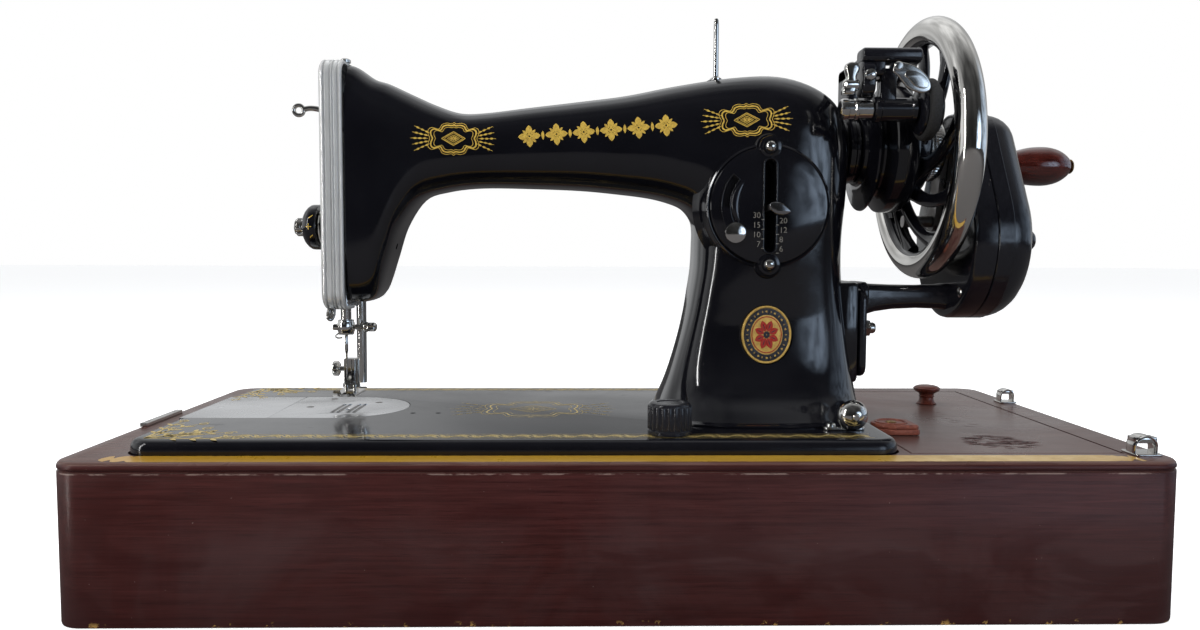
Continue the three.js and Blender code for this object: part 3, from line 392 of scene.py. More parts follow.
BED_GOLD = gilding("bed_gilding", (0.78, 0.60, 0.20), 0.5)
BADGE_GOLD = gilding("badge_gilding", (0.72, 0.47, 0.12))
RIM_CHROME = chrome("rim_chrome", (0.86, 0.845, 0.815), 0.06, 0.22)
WINDER_STEEL = chrome("winder_chrome", (0.75, 0.74, 0.73), 0.1, 0.3)


# ---------------------------------------------------------------- mesh building

def link(obj):
    bpy.context.scene.collection.objects.link(obj)
    return obj


def solid(name, points, faces, material, sharp=35):
    """A mesh object from points in millimetres."""
    mesh = bpy.data.meshes.new(name)
    mesh.from_pydata([Vector(p) * MM for p in points], [], faces)
    mesh.validate()
    mesh.materials.append(material)
    return shade(link(bpy.data.objects.new(name, mesh)), sharp)


def shade(obj, sharp=35):
    obj.data.shade_smooth()
    obj.data.set_sharp_from_angle(angle=math.radians(sharp))
    return obj


def baked(obj):
    """The object with its modifiers applied."""
    bpy.context.view_layer.update()
    graph = bpy.context.evaluated_depsgraph_get()
    mesh = bpy.data.meshes.new_from_object(obj.evaluated_get(graph))
    obj.modifiers.clear()
    if obj.type != "MESH":
        made = link(bpy.data.objects.new(obj.name + "_mesh", mesh))
        made.matrix_world = obj.matrix_world
        bpy.data.objects.remove(obj)
        return made
    obj.data = mesh
    return obj


def carve(obj, *tools):
    for tool in tools:
        step = obj.modifiers.new("cut", "BOOLEAN")
        step.operation = "DIFFERENCE"
        step.solver = "EXACT"
        step.object = tool
    obj = shade(baked(obj))
    for tool in tools:
        bpy.data.objects.remove(tool)
    return obj


def merge(name, *objects):
    """One object out of several, each keeping its material."""
    points, faces, slots, materials = [], [], [], []
    for obj in objects:
        start = len(points)
        points += [obj.matrix_world @ v.co for v in obj.data.vertices]
        own = list(obj.data.materials)
        for m in own:
            if m not in materials:
                materials.append(m)
        for f in obj.data.polygons:
            faces.append([start + i for i in f.vertices])
            slots.append(materials.index(own[f.material_index]))
        bpy.data.objects.remove(obj)
    mesh = bpy.data.meshes.new(name)
    mesh.from_pydata(points, [], faces)
    for m in materials:
        mesh.materials.append(m)
    mesh.polygons.foreach_set("material_index", slots)
    return shade(link(bpy.data.objects.new(name, mesh)))


def soften(obj, width, steps=2, angle=30):
    """Rounded edges, width in millimetres."""
    step = obj.modifiers.new("edge", "BEVEL")
    step.width = width * MM
    step.segments = steps
    step.limit_method = "ANGLE"
    step.angle_limit = math.radians(angle)
    step.harden_normals = False
    weigh = obj.modifiers.new("normals", "WEIGHTED_NORMAL")
    weigh.keep_sharp = True
    obj.data.shade_smooth()
    return obj


def turns(count):
    """Even steps of one whole turn."""
    return [TAU * i / count for i in range(count)]


def bent(value, power):
    """The value to a power, with its sign kept."""
    return math.copysign(abs(value) ** power, value)


def turn_axis(axis, p):
    """From (a, b, h), h along the axis, to x, y, z."""
    a, b, h = p
    return {"x": (h, a, b), "y": (a, h, b), "z": (a, b, h)}[axis]


def smooth_line(points, steps=6):
    """Points on a smooth curve through the given ones, of any dimension."""
    made = []
    last = len(points) - 1
    for i in range(last):
        p0, p1, p2, p3 = (points[max(i - 1, 0)], points[i], points[i + 1], points[min(i + 2, last)])
        for k in range(steps):
            t = k / steps
            made.append(tuple(
                0.5 * (
                    2 * b + (c - a) * t + (2 * a - 5 * b + 4 * c - d) * t * t
                    + (3 * b - a - 3 * c + d) * t ** 3
                )
                for a, b, c, d in zip(p0, p1, p2, p3)
            ))
    made.append(tuple(points[last]))
    return made


def smooth_loop(points, steps=5):
    """Points on a smooth closed curve through the given ones."""
    return smooth_line(points + [points[0]], steps)[:-1]


def lathe(name, axis, at, profile, material, segments=56, smooth=0, sharp=35):
    """A turned piece; profile is (radius, distance along the axis)."""
    if smooth:
        profile = [(max(r, 0), h) for r, h in smooth_line(profile, smooth)]
    ring = profile[0] == profile[-1]
    if ring:
        profile = profile[:-1]
    points, rows = [], []
    for r, h in profile:
        if r < 1e-6:
            rows.append([len(points)] * segments)
            points.append(turn_axis(axis, (at[0], at[1], h)))
            continue
        rows.append(list(range(len(points), len(points) + segments)))
        for k in range(segments):
            a = TAU * k / segments
            points.append(turn_axis(axis, (at[0] + r * math.cos(a), at[1] + r * math.sin(a), h)))
    faces = []
    for i in range(len(rows) if ring else len(rows) - 1):
        low, high = rows[i], rows[(i + 1) % len(rows)]
        for k in range(segments):
            j = (k + 1) % segments
            face = [low[k], low[j], high[j], high[k]]
            face = [v for n, v in enumerate(face) if v not in face[:n]]
            if len(face) > 2:
                faces.append(face)
    return outward(solid(name, points, faces, material, sharp))


def rod(name, axis, at, r, low, high, material, edge=0.3, segments=40):
    """A round rod with softened rims."""
    profile = [(0, low), (r - edge, low), (r, low + edge), (r, high - edge), (r - edge, high), (0, high)]
    return lathe(name, axis, at, profile, material, segments)


def edited(obj, action):
    work = bmesh.new()
    work.from_mesh(obj.data)
    action(work)
    work.to_mesh(obj.data)
    work.free()
    return obj


def outward(obj):
    """Turns every face to look outwards."""
    return edited(obj, lambda work: bmesh.ops.recalc_face_normals(work, faces=work.faces))


def wound(outline, hole):
    """The outline without repeated points, running so that the material lies to its left."""
    kept = [p for i, p in enumerate(outline) if math.dist(p, outline[i - 1]) > 1e-4]
    area = sum(a[0] * b[1] - b[0] * a[1] for a, b in zip(kept, kept[1:] + kept[:1]))
    return kept[::-1] if (area > 0) == hole else kept


def inset(outline, depth):
    """The outline moved to its left by depth."""
    made = []
    for i, here in enumerate(outline):
        sides = []
        for a, b in ((outline[i - 1], here), (here, outline[(i + 1) % len(outline)])):
            along = Vector((b[0] - a[0], b[1] - a[1])).normalized()
            sides.append(Vector((-along.y, along.x)))
        middle = sides[0] + sides[1]
        middle = middle.normalized() if middle.length > 1e-6 else sides[0]
        far = depth / max(middle.dot(sides[0]), 0.4)
        made.append((here[0] + middle.x * far, here[1] + middle.y * far))
    return made


def plate(name, axis, outlines, low, high, material, edge=0.3, steps=3):
    """A flat piece with rounded edges: outlines (the first outside, the rest holes) across the axis."""
    loops = [wound(o, i > 0) for i, o in enumerate(outlines)]
    quarter = [
        (edge * (1 - math.cos(t)), edge * (1 - math.sin(t)))
        for t in (math.pi / 2 * s / steps for s in range(steps + 1))
    ]
    levels = [(d, low + h) for d, h in reversed(quarter)] + [(d, high - h) for d, h in quarter]
    points, faces, caps = [], [], {}
    for loop in loops:
        start = len(points)
        n = len(loop)
        for depth, h in levels:
            points += [turn_axis(axis, (a, b, h)) for a, b in (inset(loop, depth) if depth else loop)]
        for i in range(len(levels) - 1):
            for j in range(n):
                k = (j + 1) % n
                faces.append(
                    (start + i * n + j, start + i * n + k, start + (i + 1) * n + k, start + (i + 1) * n + j)
                )
        for end in (0, len(levels) - 1):
            caps.setdefault(end, []).append(list(range(start + end * n, start + (end + 1) * n)))
    for loops_of in caps.values():
        flat = [i for loop in loops_of for i in loop]
        shapes = [[Vector(points[i]) for i in loop] for loop in loops_of]
        faces += [tuple(flat[i] for i in f) for f in tessellate_polygon(shapes)]
    return outward(solid(name, points, faces, material))


def weld(obj, distance):
    return edited(obj, lambda work: bmesh.ops.remove_doubles(work, verts=work.verts, dist=distance))


def block(name, x0, x1, y0, y1, z0, z1, material, edge=0.4):
    """A rectangular piece with rounded edges."""
    points = [(x, y, z) for x in (x0, x1) for y in (y0, y1) for z in (z0, z1)]
    faces = [(0, 1, 3, 2), (4, 6, 7, 5), (0, 4, 5, 1), (2, 3, 7, 6), (0, 2, 6, 4), (1, 5, 7, 3)]
    made = outward(solid(name, points, faces, material))
    return baked(soften(made, edge)) if edge else made


def loft(name, rings, material, sharp=35, closed=False):
    count = len(rings[0])
    points = [p for ring in rings for p in ring]
    faces = []
    for i in range(len(rings) if closed else len(rings) - 1):
        for j in range(count):
            k = (j + 1) % count
            n = (i + 1) % len(rings)
            faces.append((i * count + j, i * count + k, n * count + k, n * count + j))
    if not closed:
        faces.append(tuple(range(count)))
        faces.append(tuple(range((len(rings) - 1) * count, len(rings) * count)))
    return outward(solid(name, points, faces, material, sharp))


def wire(name, path, r, material, smooth=6, segments=12, flat=1.0):
    """A round or flattened rod along a smooth path."""
    line = [Vector(p) for p in smooth_line(path, smooth)] if smooth else [Vector(p) for p in path]
    side = Vector((0, 0, 1))
    rings = []
    for i, p in enumerate(line):
        along = (line[min(i + 1, len(line) - 1)] - line[max(i - 1, 0)]).normalized()
        if abs(along.dot(side)) > 0.98:
            side = Vector((0, 1, 0))
        across = (side - along * side.dot(along)).normalized()
        other = along.cross(across)
        side = across
        rings.append([
            p + across * r * math.cos(a) + other * r * flat * math.sin(a) for a in turns(segments)
        ])
    return loft(name, rings, material)


def torus(name, axis, at, h, ring, tube, material, around=96, section=20, squeeze=1.0):
    rings = []
    for i in range(around):
        a = TAU * i / around
        rings.append([
            turn_axis(axis, (
                at[0] + (ring + tube * math.cos(b)) * math.cos(a),
                at[1] + (ring + tube * math.cos(b)) * math.sin(a),
                h + squeeze * tube * math.sin(b),
            )) for b in turns(section)
        ])
    return loft(name, rings, material, closed=True)


def arc(cx, cy, r, a0, a1, steps=16):
    return [(cx + r * math.cos(a0 + (a1 - a0) * i / steps), cy + r * math.sin(a0 + (a1 - a0) * i / steps))
            for i in range(steps + 1)]


def circle(cx, cy, r, steps=64, rx=None):
    return [
        ((rx or r) * math.cos(TAU * i / steps) + cx, r * math.sin(TAU * i / steps) + cy)
        for i in range(steps)
    ]


def rounded(x0, x1, y0, y1, r, steps=14):
    quarter = math.pi / 2
    corners = ((x1 - r, y0 + r), (x1 - r, y1 - r), (x0 + r, y1 - r), (x0 + r, y0 + r))
    return [
        p for i, (x, y) in enumerate(corners)
        for p in arc(x, y, r, (i - 1) * quarter, i * quarter, steps)
    ]


def refined(node, material, width=0.3):
    """A copy of a CAD node with rounded edges."""
    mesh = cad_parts[node].data.copy()
    made = link(bpy.data.objects.new(node + "_fine", mesh))
    made.matrix_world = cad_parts[node].matrix_world.copy()
    weld(made, 2e-6)
    mesh.materials.clear()
    mesh.materials.append(material)
    return soften(made, width)


def surface_of(obj):
    return BVHTree.FromPolygons(
        [v.co for v in obj.data.vertices], [tuple(f.vertices) for f in obj.data.polygons],
    )


def stand(piece, body, *nodes):
    """The piece rides on a body and stands for those CAD nodes."""
    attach(piece, body)
    if nodes:
        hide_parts(*nodes)
    return piece


def cylinder(axis, at, r, low, high, segments=40):
    """A plain tool for cutting."""
    return lathe("tool", axis, at, [(0, low), (r, low), (r, high), (0, high)], WOOD, segments)


def cutter(x0, x1, y0, y1, z0, z1):
    return block("tool", x0, x1, y0, y1, z0, z1, WOOD, 0)


# ---------------------------------------------------------------- wooden base

def base_shell():
    profile = [
        (1.0, 0), (0.3, 0.3), (0, 1.2), (0, 71.9), (0.25, 72.3), (1.0, 72.5), (1.0, 73.2), (0.3, 73.4),
        (0, 73.8), (0, 74.6), (0.4, 75.8), (1.2, 76.6), (2.4, TOP),
    ]
    rings = [
        [(x, y, z) for x, y in rounded(-HALF_W + i, HALF_W - i, -HALF_D + i, HALF_D - i, 14 - i)]
        for i, z in profile
    ]
    seat = plate("tool", "z", [rounded(-237, 136, -105, 75, 13)], 74.7, 82, WOOD, 0.01, 1)
    shell = carve(
        loft("base_shell", rings, WOOD), cutter(-251, 251, -108, 108, -5, 69), seat,
        cutter(-228, 127, -96, 66, 60, 82), cutter(139.4, 243.6, -100.6, 101.6, 71, 82),
        cutter(148, 235, -92, 93, 60, 82),
    )
    shell.data.materials.clear()
    for m in (WOOD, WOOD_SIDE, WOOD_TOP):
        shell.data.materials.append(m)
    for f in shell.data.polygons:
        n = f.normal
        f.material_index = 2 if n.z > 0.6 and f.center.z > 0.0705 else 1 if abs(n.x) > 0.7 else 0
    stand(shell, "base", "base_walls", "base_top")


def frayed_strip():
    """The strip of gold transfer along the front edge of the top."""
    rng = random.Random(4)
    count = 260
    points, faces = [], []
    for i in range(count + 1):
        x = -242 + 486 * i / count
        near_end = min(x + 242, 244 - x)
        ragged = 3.2 if near_end < 14 else 0.35
        y0 = -117.6 + abs(rng.gauss(0, 1)) * ragged * 0.5
        y1 = -104.4 - abs(rng.gauss(0, 1)) * ragged * 0.5
        if near_end < 9 and i % 3 == 0:
            y0, y1 = -113.5 + rng.random(), -110 + rng.random()
        points += [(x + rng.gauss(0, 0.2), y0, TOP + 0.06), (x + rng.gauss(0, 0.2), y1, TOP + 0.06)]
    for i in range(count):
        faces.append((2 * i, 2 * i + 2, 2 * i + 3, 2 * i + 1))
    strip = solid("gold_strip", points, faces, INLAY)
    stand(strip, "base")


def compartment():
    lid = block("compartment_board", 140, 243, -100, 101, 71.1, TOP, WOOD_TOP, 0.7)
    stand(lid, "lid", "compartment_lid")
    z = TOP
    profile = [
        (0, z - 0.2), (5.9, z), (6.3, z + 0.5), (5.4, z + 1.2), (4.8, z + 2.0), (4.4, z + 3.2),
        (4.3, z + 4.4),
        (4.7, z + 4.9), (4.75, z + 5.3), (4.4, z + 5.8), (4.7, z + 6.8), (6.2, z + 7.8), (7.6, z + 8.6),
        (8.2, z + 9.2),
        (7.9, z + 9.5), (8.3, z + 9.9), (8.2, z + 10.5), (7.6, z + 10.8), (7.3, z + 11.2), (5.4, z + 11.9),
        (2.6, z + 12.3), (0, z + 12.4),
    ]
    stand(lathe("knob_turned", "z", (203, 49), profile, WOOD_TURNED, 64), "lid", "lid_knob")
    x, y, half = 147.6, -47, 11
    outline = [
        (160, y - half + 1.6), (160, y + half - 1.6), (158.4, y + half),
    ] + arc(x, y, half, math.pi / 2, 3 * math.pi / 2, 40) + [(158.4, y - half)]
    pieces = [plate("button", "z", [outline], 77.3, 80.2, WOOD_WORN, 0.5)]
    smaller = [(x + (a - x) * 0.965, y + (b - y) * 0.94) for a, b in outline]
    pieces.append(plate("button_top", "z", [smaller], 80.1, 82.6, WOOD_WORN, 0.9))
    pieces.append(
        lathe("button_boss", "z", (x, y), [
            (8.6, 82), (8.6, 83), (8.0, 83.25), (7.2, 83.0), (7.0, 82.5), (0, 82.4),
        ], WOOD_WORN, 64)
    )
    screw = lathe("button_screw", "z", (x, y), [
        (0, 82), (2.9, 82), (2.9, 82.9), (1.8, 83.3), (0, 83.4),
    ], BRASS, 40)
    pieces.append(carve(screw, cutter(x - 4, x + 4, y - 0.4, y + 0.4, 82.9, 84)))
    stand(merge("turn_button_worn", *pieces), "lid_button", "turn_button")


def lid_wear():
    """A rubbed dark-red patch and a few dashes worn through the lid's varnish."""
    rng = random.Random(11)
    strokes = []
    for _ in range(120):
        a, r = rng.uniform(0, TAU), math.sqrt(rng.random())
        px, py = 194.5 + 17 * r * math.cos(a), -73 + 17 * r * math.sin(a)
        long, lean = rng.uniform(3, 10), rng.uniform(-0.25, 0.1)
        line = [
            (px + long * (t / 5 - 0.5), py + lean * long * (t / 5 - 0.5) + rng.gauss(0, 0.1))
            for t in range(6)
        ]
        strokes.append(
            (
                line,
                [max(0.12, rng.uniform(0.5, 1.5) * math.sin(math.pi * (t + 0.5) / 6)) for t in range(6)],
                False,
            )
        )
    for k in range(9):
        px, py = 196 + rng.uniform(-7, 7), -30 + 51 * k / 8
        strokes.append(
            ([(px + t * 1.4, py - t * 0.8) for t in range(-2, 3)], [0.15, 0.6, 0.9, 0.5, 0.15], False)
        )
    made = strokes_mesh("lid_rubbed_patch", strokes, lambda a, b: Vector((a, b, TOP + 0.04)), RUBBED, UP)
    stand(made, "lid")


def catch_loop(name, node, x, y, w, h, thick):
    """A domed sheet-metal loop with a window, on a screwed foot."""
    top = TOP + h
    path = [(x - w / 2 + 0.7, TOP), (x - w / 2 + 0.7, top - w / 2)] + [
        (x + (w / 2 - 0.7) * math.cos(a), top - w / 2 + (w / 2 - 0.7) * math.sin(a))
        for a in (math.pi * (1 - k / 24) for k in range(1, 24))
    ] + [(x + w / 2 - 0.7, top - w / 2), (x + w / 2 - 0.7, TOP)]
    rings = []
    for i, (px, pz) in enumerate(path):
        a, b = path[max(i - 1, 0)], path[min(i + 1, len(path) - 1)]
        along = Vector((b[0] - a[0], b[1] - a[1])).normalized()
        side = Vector((-along.y, along.x))
        ring = []
        for t in turns(16):
            c, s = math.cos(t), math.sin(t)
            u = 0.75 * bent(c, 0.6)
            v = (thick / 2 + 1.2 * math.sin(math.pi * i / (len(path) - 1))) * bent(s, 0.7)
            ring.append((px + side.x * u, y + v, pz + side.y * u))
        rings.append(ring)
    hood = loft("hood", rings, CHROME)
    bar = block(
        "bar", x - w / 2 + 0.6, x + w / 2 - 0.6, y - thick / 2, y + thick / 2, top - w * 0.34, top - 0.9,
        CHROME, 0.5,
    )
    foot = plate("foot", "z", [
        rounded(x - w / 2 - 0.6, x + w / 2 + 0.6, y - thick, y + thick, 1.6, 6),
    ], TOP, TOP + 0.9, WORN_CHROME, 0.3)
    stand(merge(name, hood, bar, foot), "base", node)


base_shell()
frayed_strip()
compartment()
catch_loop("catch_hood_front", "catch_loop_front", 251.5, -101, 12, 9.6, 7)
catch_loop("catch_hood_rear", "catch_loop_rear", 257, 55, 9.6, 9, 6)
stand(refined("catch_tongue", WORN_CHROME, 0.4), "base", "catch_tongue")
for node in ("hinge_left", "hinge_right"):
    stand(refined(node, CASTING, 0.5), "base", node)


# ---------------------------------------------------------------- bed

def slideway(play, left, steps=48):
    return [(left, -41.5 - play)] + arc(
        -156, -5, 36.5 + play, -math.pi / 2, math.pi / 2, steps,
    ) + [(left, 31.5 + play)]


def bed():
    profile = [
        (2.4, 75), (0.9, 75.4), (0.2, 76.2), (0, 77.4), (0, 79.4), (0.25, 81.0), (0.9, 82.4), (1.9, 83.4),
        (3.0, 83.88), (4.0, BED_TOP),
    ]
    rings = [
        [(x, y, z) for x, y in rounded(-236 + i, 135 - i, -104 + i, 74 - i, 12 - i * 0.7, 16)]
        for i, z in profile
    ]
    skin = carve(
        loft("bed_casting", rings, BED_ENAMEL), cutter(-227, 126, -95, 65, 60, 78),
        cutter(62, 106, -40, 10, 70, 90),
        plate("tool", "z", [slideway(0.3, -250)], 81.4, 95, WOOD, 0.01, 1),
        plate("tool", "z", [slideway(-6, -229)], 70, 95, WOOD, 0.01, 1),
        cylinder("z", (-113, -27), 1.5, 82.5, 90), cylinder("z", (-99, -27), 1.5, 82.5, 90),
    )
    pieces = [skin]
    for x in (-112, 40):
        outline = [(-22, 78.4)] + arc(-14, 56, 8, math.pi, TAU, 24) + [(-6, 78.4)]
        pieces.append(plate("lug", "x", [outline, circle(-14, 56, 4.5)], x - 5, x + 5, CASTING, 0.5))
    stand(merge("bed_japanned", *pieces), "head", "bed")


def bed_plates():
    edge = [(-235.8, -41.5), (-189.2, -41.5), (-189.2, 31.5), (-235.8, 31.5)]
    slide = plate("slide", "z", [edge], 81.5, BED_TOP, PLATE_CHROME, 0.35)
    slide = carve(
        slide,
        lathe("tool", "x", (-6, 86.2), [(0, -229.5), (2.9, -229), (2.9, -226), (0, -225.5)], WOOD, 24),
    )
    stand(slide, "bobbin_cover", "slide_plate")
    slide.name = "slide_cover"
    holes = [rounded(x - 1.1, x + 1.1, -25, 5, 1.0, 4) for x in (-158.6, -155.4, -149.8, -146.6)]
    holes += [circle(-152.6, -14, 1.6, 32)]
    top = plate("needle_top", "z", [slideway(0, -188.8)] + holes, 81.5, BED_TOP, PLATE_CHROME, 0.3)
    pieces = [top]
    for x, y in ((-176, -6), (-140, 10), (-170, 24)):
        pieces.append(carve(
            lathe("screw", "z", (x, y), [
                (0, 83.2), (2.3, 83.2), (2.3, 83.95), (2.0, 84.12), (0, 84.16),
            ], STEEL, 32),
            cutter(x - 3, x + 3, y - 0.3, y + 0.3, 83.8, 85),
        ))
    stand(merge("needle_cover", *pieces), "head", "needle_plate")


bed()
bed_plates()


# ---------------------------------------------------------------- arm

RIBS = [
    # inner x, inner z, outer x, outer z, half depth, squareness
    (-146.3, 146, -146.3, 275, 25, 4.5), (-138, 146, -141, 273.5, 25.5, 4.2),
    (-131, 151, -132, 267.5, 26, 4),
    (-125, 168, -124, 265, 25.5, 3.6), (-119, 186, -112, 259.6, 24.5, 3.2), (-108, 202, -99, 254, 23, 2.8),
    (-94, 207, -86, 250, 22.5, 2.6), (-75, 209.2, -72, 250.2, 22.5, 2.6), (-48, 209, -48, 253.2, 23.5, 2.6),
    (-20, 208, -20, 256.6, 25, 2.6), (2, 206, 5, 259.8, 26.5, 2.7), (18, 204, 32, 265, 28.5, 2.8),
    (29, 201.4, 62, 269.3, 31, 3), (37, 198, 88, 270, 33, 3.1), (42, 192, 108, 264, 34.5, 3.2),
    (43.3, 186, 121, 253, 35, 3.3), (43.3, 178, 126.5, 235, 35, 3.4), (42.8, 165, 126, 208, 35, 3.5),
    (41, 152, 124, 182, 34.6, 3.5), (39, 140, 124.5, 158, 34, 3.5), (36, 127, 127.5, 134, 34, 3.4),
    (32, 113, 130.5, 113, 37, 3.2), (28, 101, 133, 98, 43, 3), (24, 91, 134.5, 89, 52, 2.9),
    (21, 84, 136, 84, 58, 2.9),
]


def rib_ring(rib, offset, count):
    ix, iz, ox, oz, depth, power = rib
    half = math.hypot(ox - ix, oz - iz) / 2
    along = Vector((ox - ix, 0, oz - iz)).normalized()
    middle = Vector(((ix + ox) / 2, ARM_Y, (iz + oz) / 2))
    ring = []
    for i in range(count):
        a = TAU * (i + 0.5) / count
        c, s = math.cos(a), math.sin(a)
        p = middle + along * (half + offset) * bent(c, 2 / power)
        p.y += (depth + offset) * bent(s, 2 / power)
        ring.append(p)
    return ring


def even_ring(rib, offset, count):
    """The ring's outline with its points spread evenly along it."""
    dense = rib_ring(rib, offset, 360)
    lengths = [0.0]
    for a, b in zip(dense, dense[1:] + dense[:1]):
        lengths.append(lengths[-1] + (b - a).length)
    total, made, i = lengths[-1], [], 0
    for k in range(count):
        want = total * k / count
        while lengths[i + 1] < want:
            i += 1
        t = (want - lengths[i]) / max(lengths[i + 1] - lengths[i], 1e-9)
        made.append(dense[i].lerp(dense[(i + 1) % 360], t))
    return made


def arm():
    fine = smooth_line(RIBS, 5)
    lip = list(fine[0])
    rings = [
        even_ring(lip, -1.6, 72), even_ring(lip, -0.5, 72), even_ring(lip, 0, 72),
    ] + [even_ring(r, 0, 72) for r in fine[1:]]
    for ring, face_x in zip(rings, (-146.3, -145.9, -145.1)):
        for p in ring:
            p.x = face_x
    skin = loft("arm_skin", rings, JAPAN, 40)
    ribs = [list(r) for r in RIBS]
    ribs[0][0] = ribs[0][2] = -148
    ribs[-1][1] = ribs[-1][3] = 82
    hollow = loft("tool", [rib_ring(r, -5, 24) for r in ribs], CASTING)
    x, z = DIAL
    boss = lathe("boss", "y", (x, z), [
        (0, -49.6), (30.4, -49.8), (31.3, -50.5), (32.1, -50.6), (32.8, -50.1), (33.1, -49), (33.5, -46.5),
        (34.6, -44.2),
        (36.6, -42), (39, -40), (0, -38),
    ], JAPAN, 120, 0, 40)
    seats = [
        lathe("seat", "y", (x, z + at), [
            (0, -50.6), (6.8, -50.6), (7.6, -49.8), (8.4, -46), (10, -40), (0, -38),
        ], JAPAN, 48)
        for at in DIAL_EARS
    ]
    boss = carve(boss, cutter(x - 4, x + 4, -70, -40, z - 25.5, z + 25))
    skin = carve(
        skin, hollow, cylinder("x", AXIS, 15.3, 100, 140), cutter(x - 4, x + 4, -70, -42, z - 25.5, z + 25),
        cutter(-150, -141, -7, 1, 140, 158), cutter(-150, -134, 0, 14, 152, 175),
        cylinder("z", SPOOL, 2.8, 264.5, 280),
        plate("tool", "y", [circle(*BADGE, 15.8, 64, 14.3)], -60, -48.1, WOOD, 0.01, 1),
        cylinder("x", (-19, 176.5), 1.7, -124, -100, 24),
    )
    pad = block("pad", 118, 132.6, -37, 7, 102, 158, JAPAN, 3)
    foot_ring = [
        [(px, py, h) for px, py in ellipse_foot(o)] for o,
        h in ((0, 84), (0.2, 84.8), (-1.0, 85.6), (-3.4, 86.2))
    ]
    flange = loft("flange", foot_ring, JAPAN)
    spot = lathe("spot", "z", SPOOL, [
        (0, 266), (5.2, 266), (5.2, 269.1), (4.2, 269.7), (0, 269.8),
    ], JAPAN, 40)
    stud = rod("stud", "y", TAKE_UP, 2, -38, -22.5, STEEL)
    made = merge("arm_japanned", skin, boss, pad, flange, spot, stud, *seats)
    return stand(made, "head", "arm")


def ellipse_foot(offset):
    made = []
    for a in turns(96):
        c, s = math.cos(a), math.sin(a)
        made.append((78.5 + (58.4 + offset) * bent(c, 0.68), ARM_Y + (59 + offset) * bent(s, 0.68)))
    return made


ARM = arm()
SURFACE = surface_of(ARM)


# ---------------------------------------------------------------- gold transfers

def pressed(surface, x, z, start, lift, missed):
    """A point a little proud of a surface met from the front, or at Y missed where there is none."""
    hit = surface.ray_cast(Vector((x, start, z)) * MM, -FRONT)
    return hit[0] / MM + hit[1] * lift if hit[0] else Vector((x, missed, z))


def on_arm(x, z):
    return pressed(SURFACE, x, z, -200, 0.05, -40)


def on_bed(x, y):
    return Vector((x, y, BED_TOP + 0.05))


def strokes_mesh(name, strokes, place, material, facing):
    """Thin ribbons laid on a surface; a stroke is (points, width or widths, closed)."""
    points, faces = [], []
    for line, width, closed in strokes:
        n = len(line)
        start = len(points)
        for i, p in enumerate(line):
            a = line[i - 1] if closed or i else p
            b = line[(i + 1) % n] if closed or i < n - 1 else p
            along = Vector((b[0] - a[0], b[1] - a[1]))
            along = along.normalized() if along.length > 1e-9 else Vector((1, 0))
            half = (width[i] if isinstance(width, list) else width) / 2
            side = Vector((-along.y, along.x)) * half
            points += [place(p[0] + side.x, p[1] + side.y), place(p[0] - side.x, p[1] - side.y)]
        for i in range(n if closed else n - 1):
            k = (i + 1) % n
            faces.append((start + 2 * i, start + 2 * i + 1, start + 2 * k + 1, start + 2 * k))
    made = solid(name, points, faces, material)
    if sum(f.normal.dot(facing) for f in made.data.polygons) < 0:
        made.data.flip_normals()
    return made


def moved(strokes, x, y, sx=1.0, sy=1.0, turn=0.0, w=1.0):
    c, s = math.cos(turn), math.sin(turn)
    made = []
    for line, width, closed in strokes:
        width = [v * w for v in width] if isinstance(width, list) else width * w
        made.append(
            ([(x + a * sx * c - b * sy * s, y + a * sx * s + b * sy * c) for a, b in line], width, closed)
        )
    return made


def mirrored(quarter):
    right = quarter + [(x, -y) for x, y in reversed(quarter[:-1])]
    return right + [(-x, y) for x, y in reversed(right[1:-1])]


def leaf(x0, y0, x1, y1, fat, steps=6):
    line = [(x0 + (x1 - x0) * i / steps, y0 + (y1 - y0) * i / steps) for i in range(steps + 1)]
    return (line, [max(fat * math.sin(math.pi * i / steps) ** 0.8, 0.04) for i in range(steps + 1)], False)


def cartouche():
    """A scrolled frame round a lozenge, with a fan of wheat ears at each side."""
    quarter = [
        (0, 7.7), (1.1, 7.0), (3.4, 7.3), (5.5, 6.6), (6.3, 5.2), (7.2, 4.3), (8.8, 4.7), (10.6, 5.0),
        (12.0, 3.8),
        (11.9, 1.8), (11.2, 0.0),
    ]
    loop = smooth_loop(mirrored(quarter))
    strokes = [
        (loop, 0.75, True), ([(x * 1.12, y * 1.16) for x, y in loop], 0.28, True),
        ([(x * 0.86, y * 0.84) for x, y in loop], 0.28, True),
    ]
    for k, w in ((1.0, 0.42), (0.8, 0.3), (0.52, 0.3)):
        a, b = 6.3 * k, 3.7 * k
        diamond = []
        for p, q in (((a, 0), (0, b)), ((0, b), (-a, 0)), ((-a, 0), (0, -b)), ((0, -b), (a, 0))):
            diamond += [(p[0] + (q[0] - p[0]) * i / 6, p[1] + (q[1] - p[1]) * i / 6) for i in range(6)]
        strokes.append((diamond, w, True))
    for t in turns(8):
        strokes.append(leaf(0.2 * math.cos(t), 0.2 * math.sin(t), 2.5 * math.cos(t), 1.5 * math.sin(t), 0.6))
    for side in (-1, 1):
        for tilt in (-2, -1, 0, 1, 2):
            x0, y0 = 13.4 - 0.5 * abs(tilt), tilt * 1.35
            x1, y1 = 22.6 - 0.9 * abs(tilt), tilt * 3.3
            stem = [(side * (x0 + (x1 - x0) * i / 8), y0 + (y1 - y0) * i / 8) for i in range(9)]
            strokes.append((stem, 0.24, False))
            for t, size in ((0.2, 2.2), (0.48, 2.3), (0.76, 2.2)):
                px, py = x0 + (x1 - x0) * t, y0 + (y1 - y0) * t
                dx, dy = (x1 - x0) / 9 * size / 2, (y1 - y0) / 9 * size / 2
                strokes.append(leaf(side * (px - dx), py - dy, side * (px + dx), py + dy, 1.0))
    return strokes


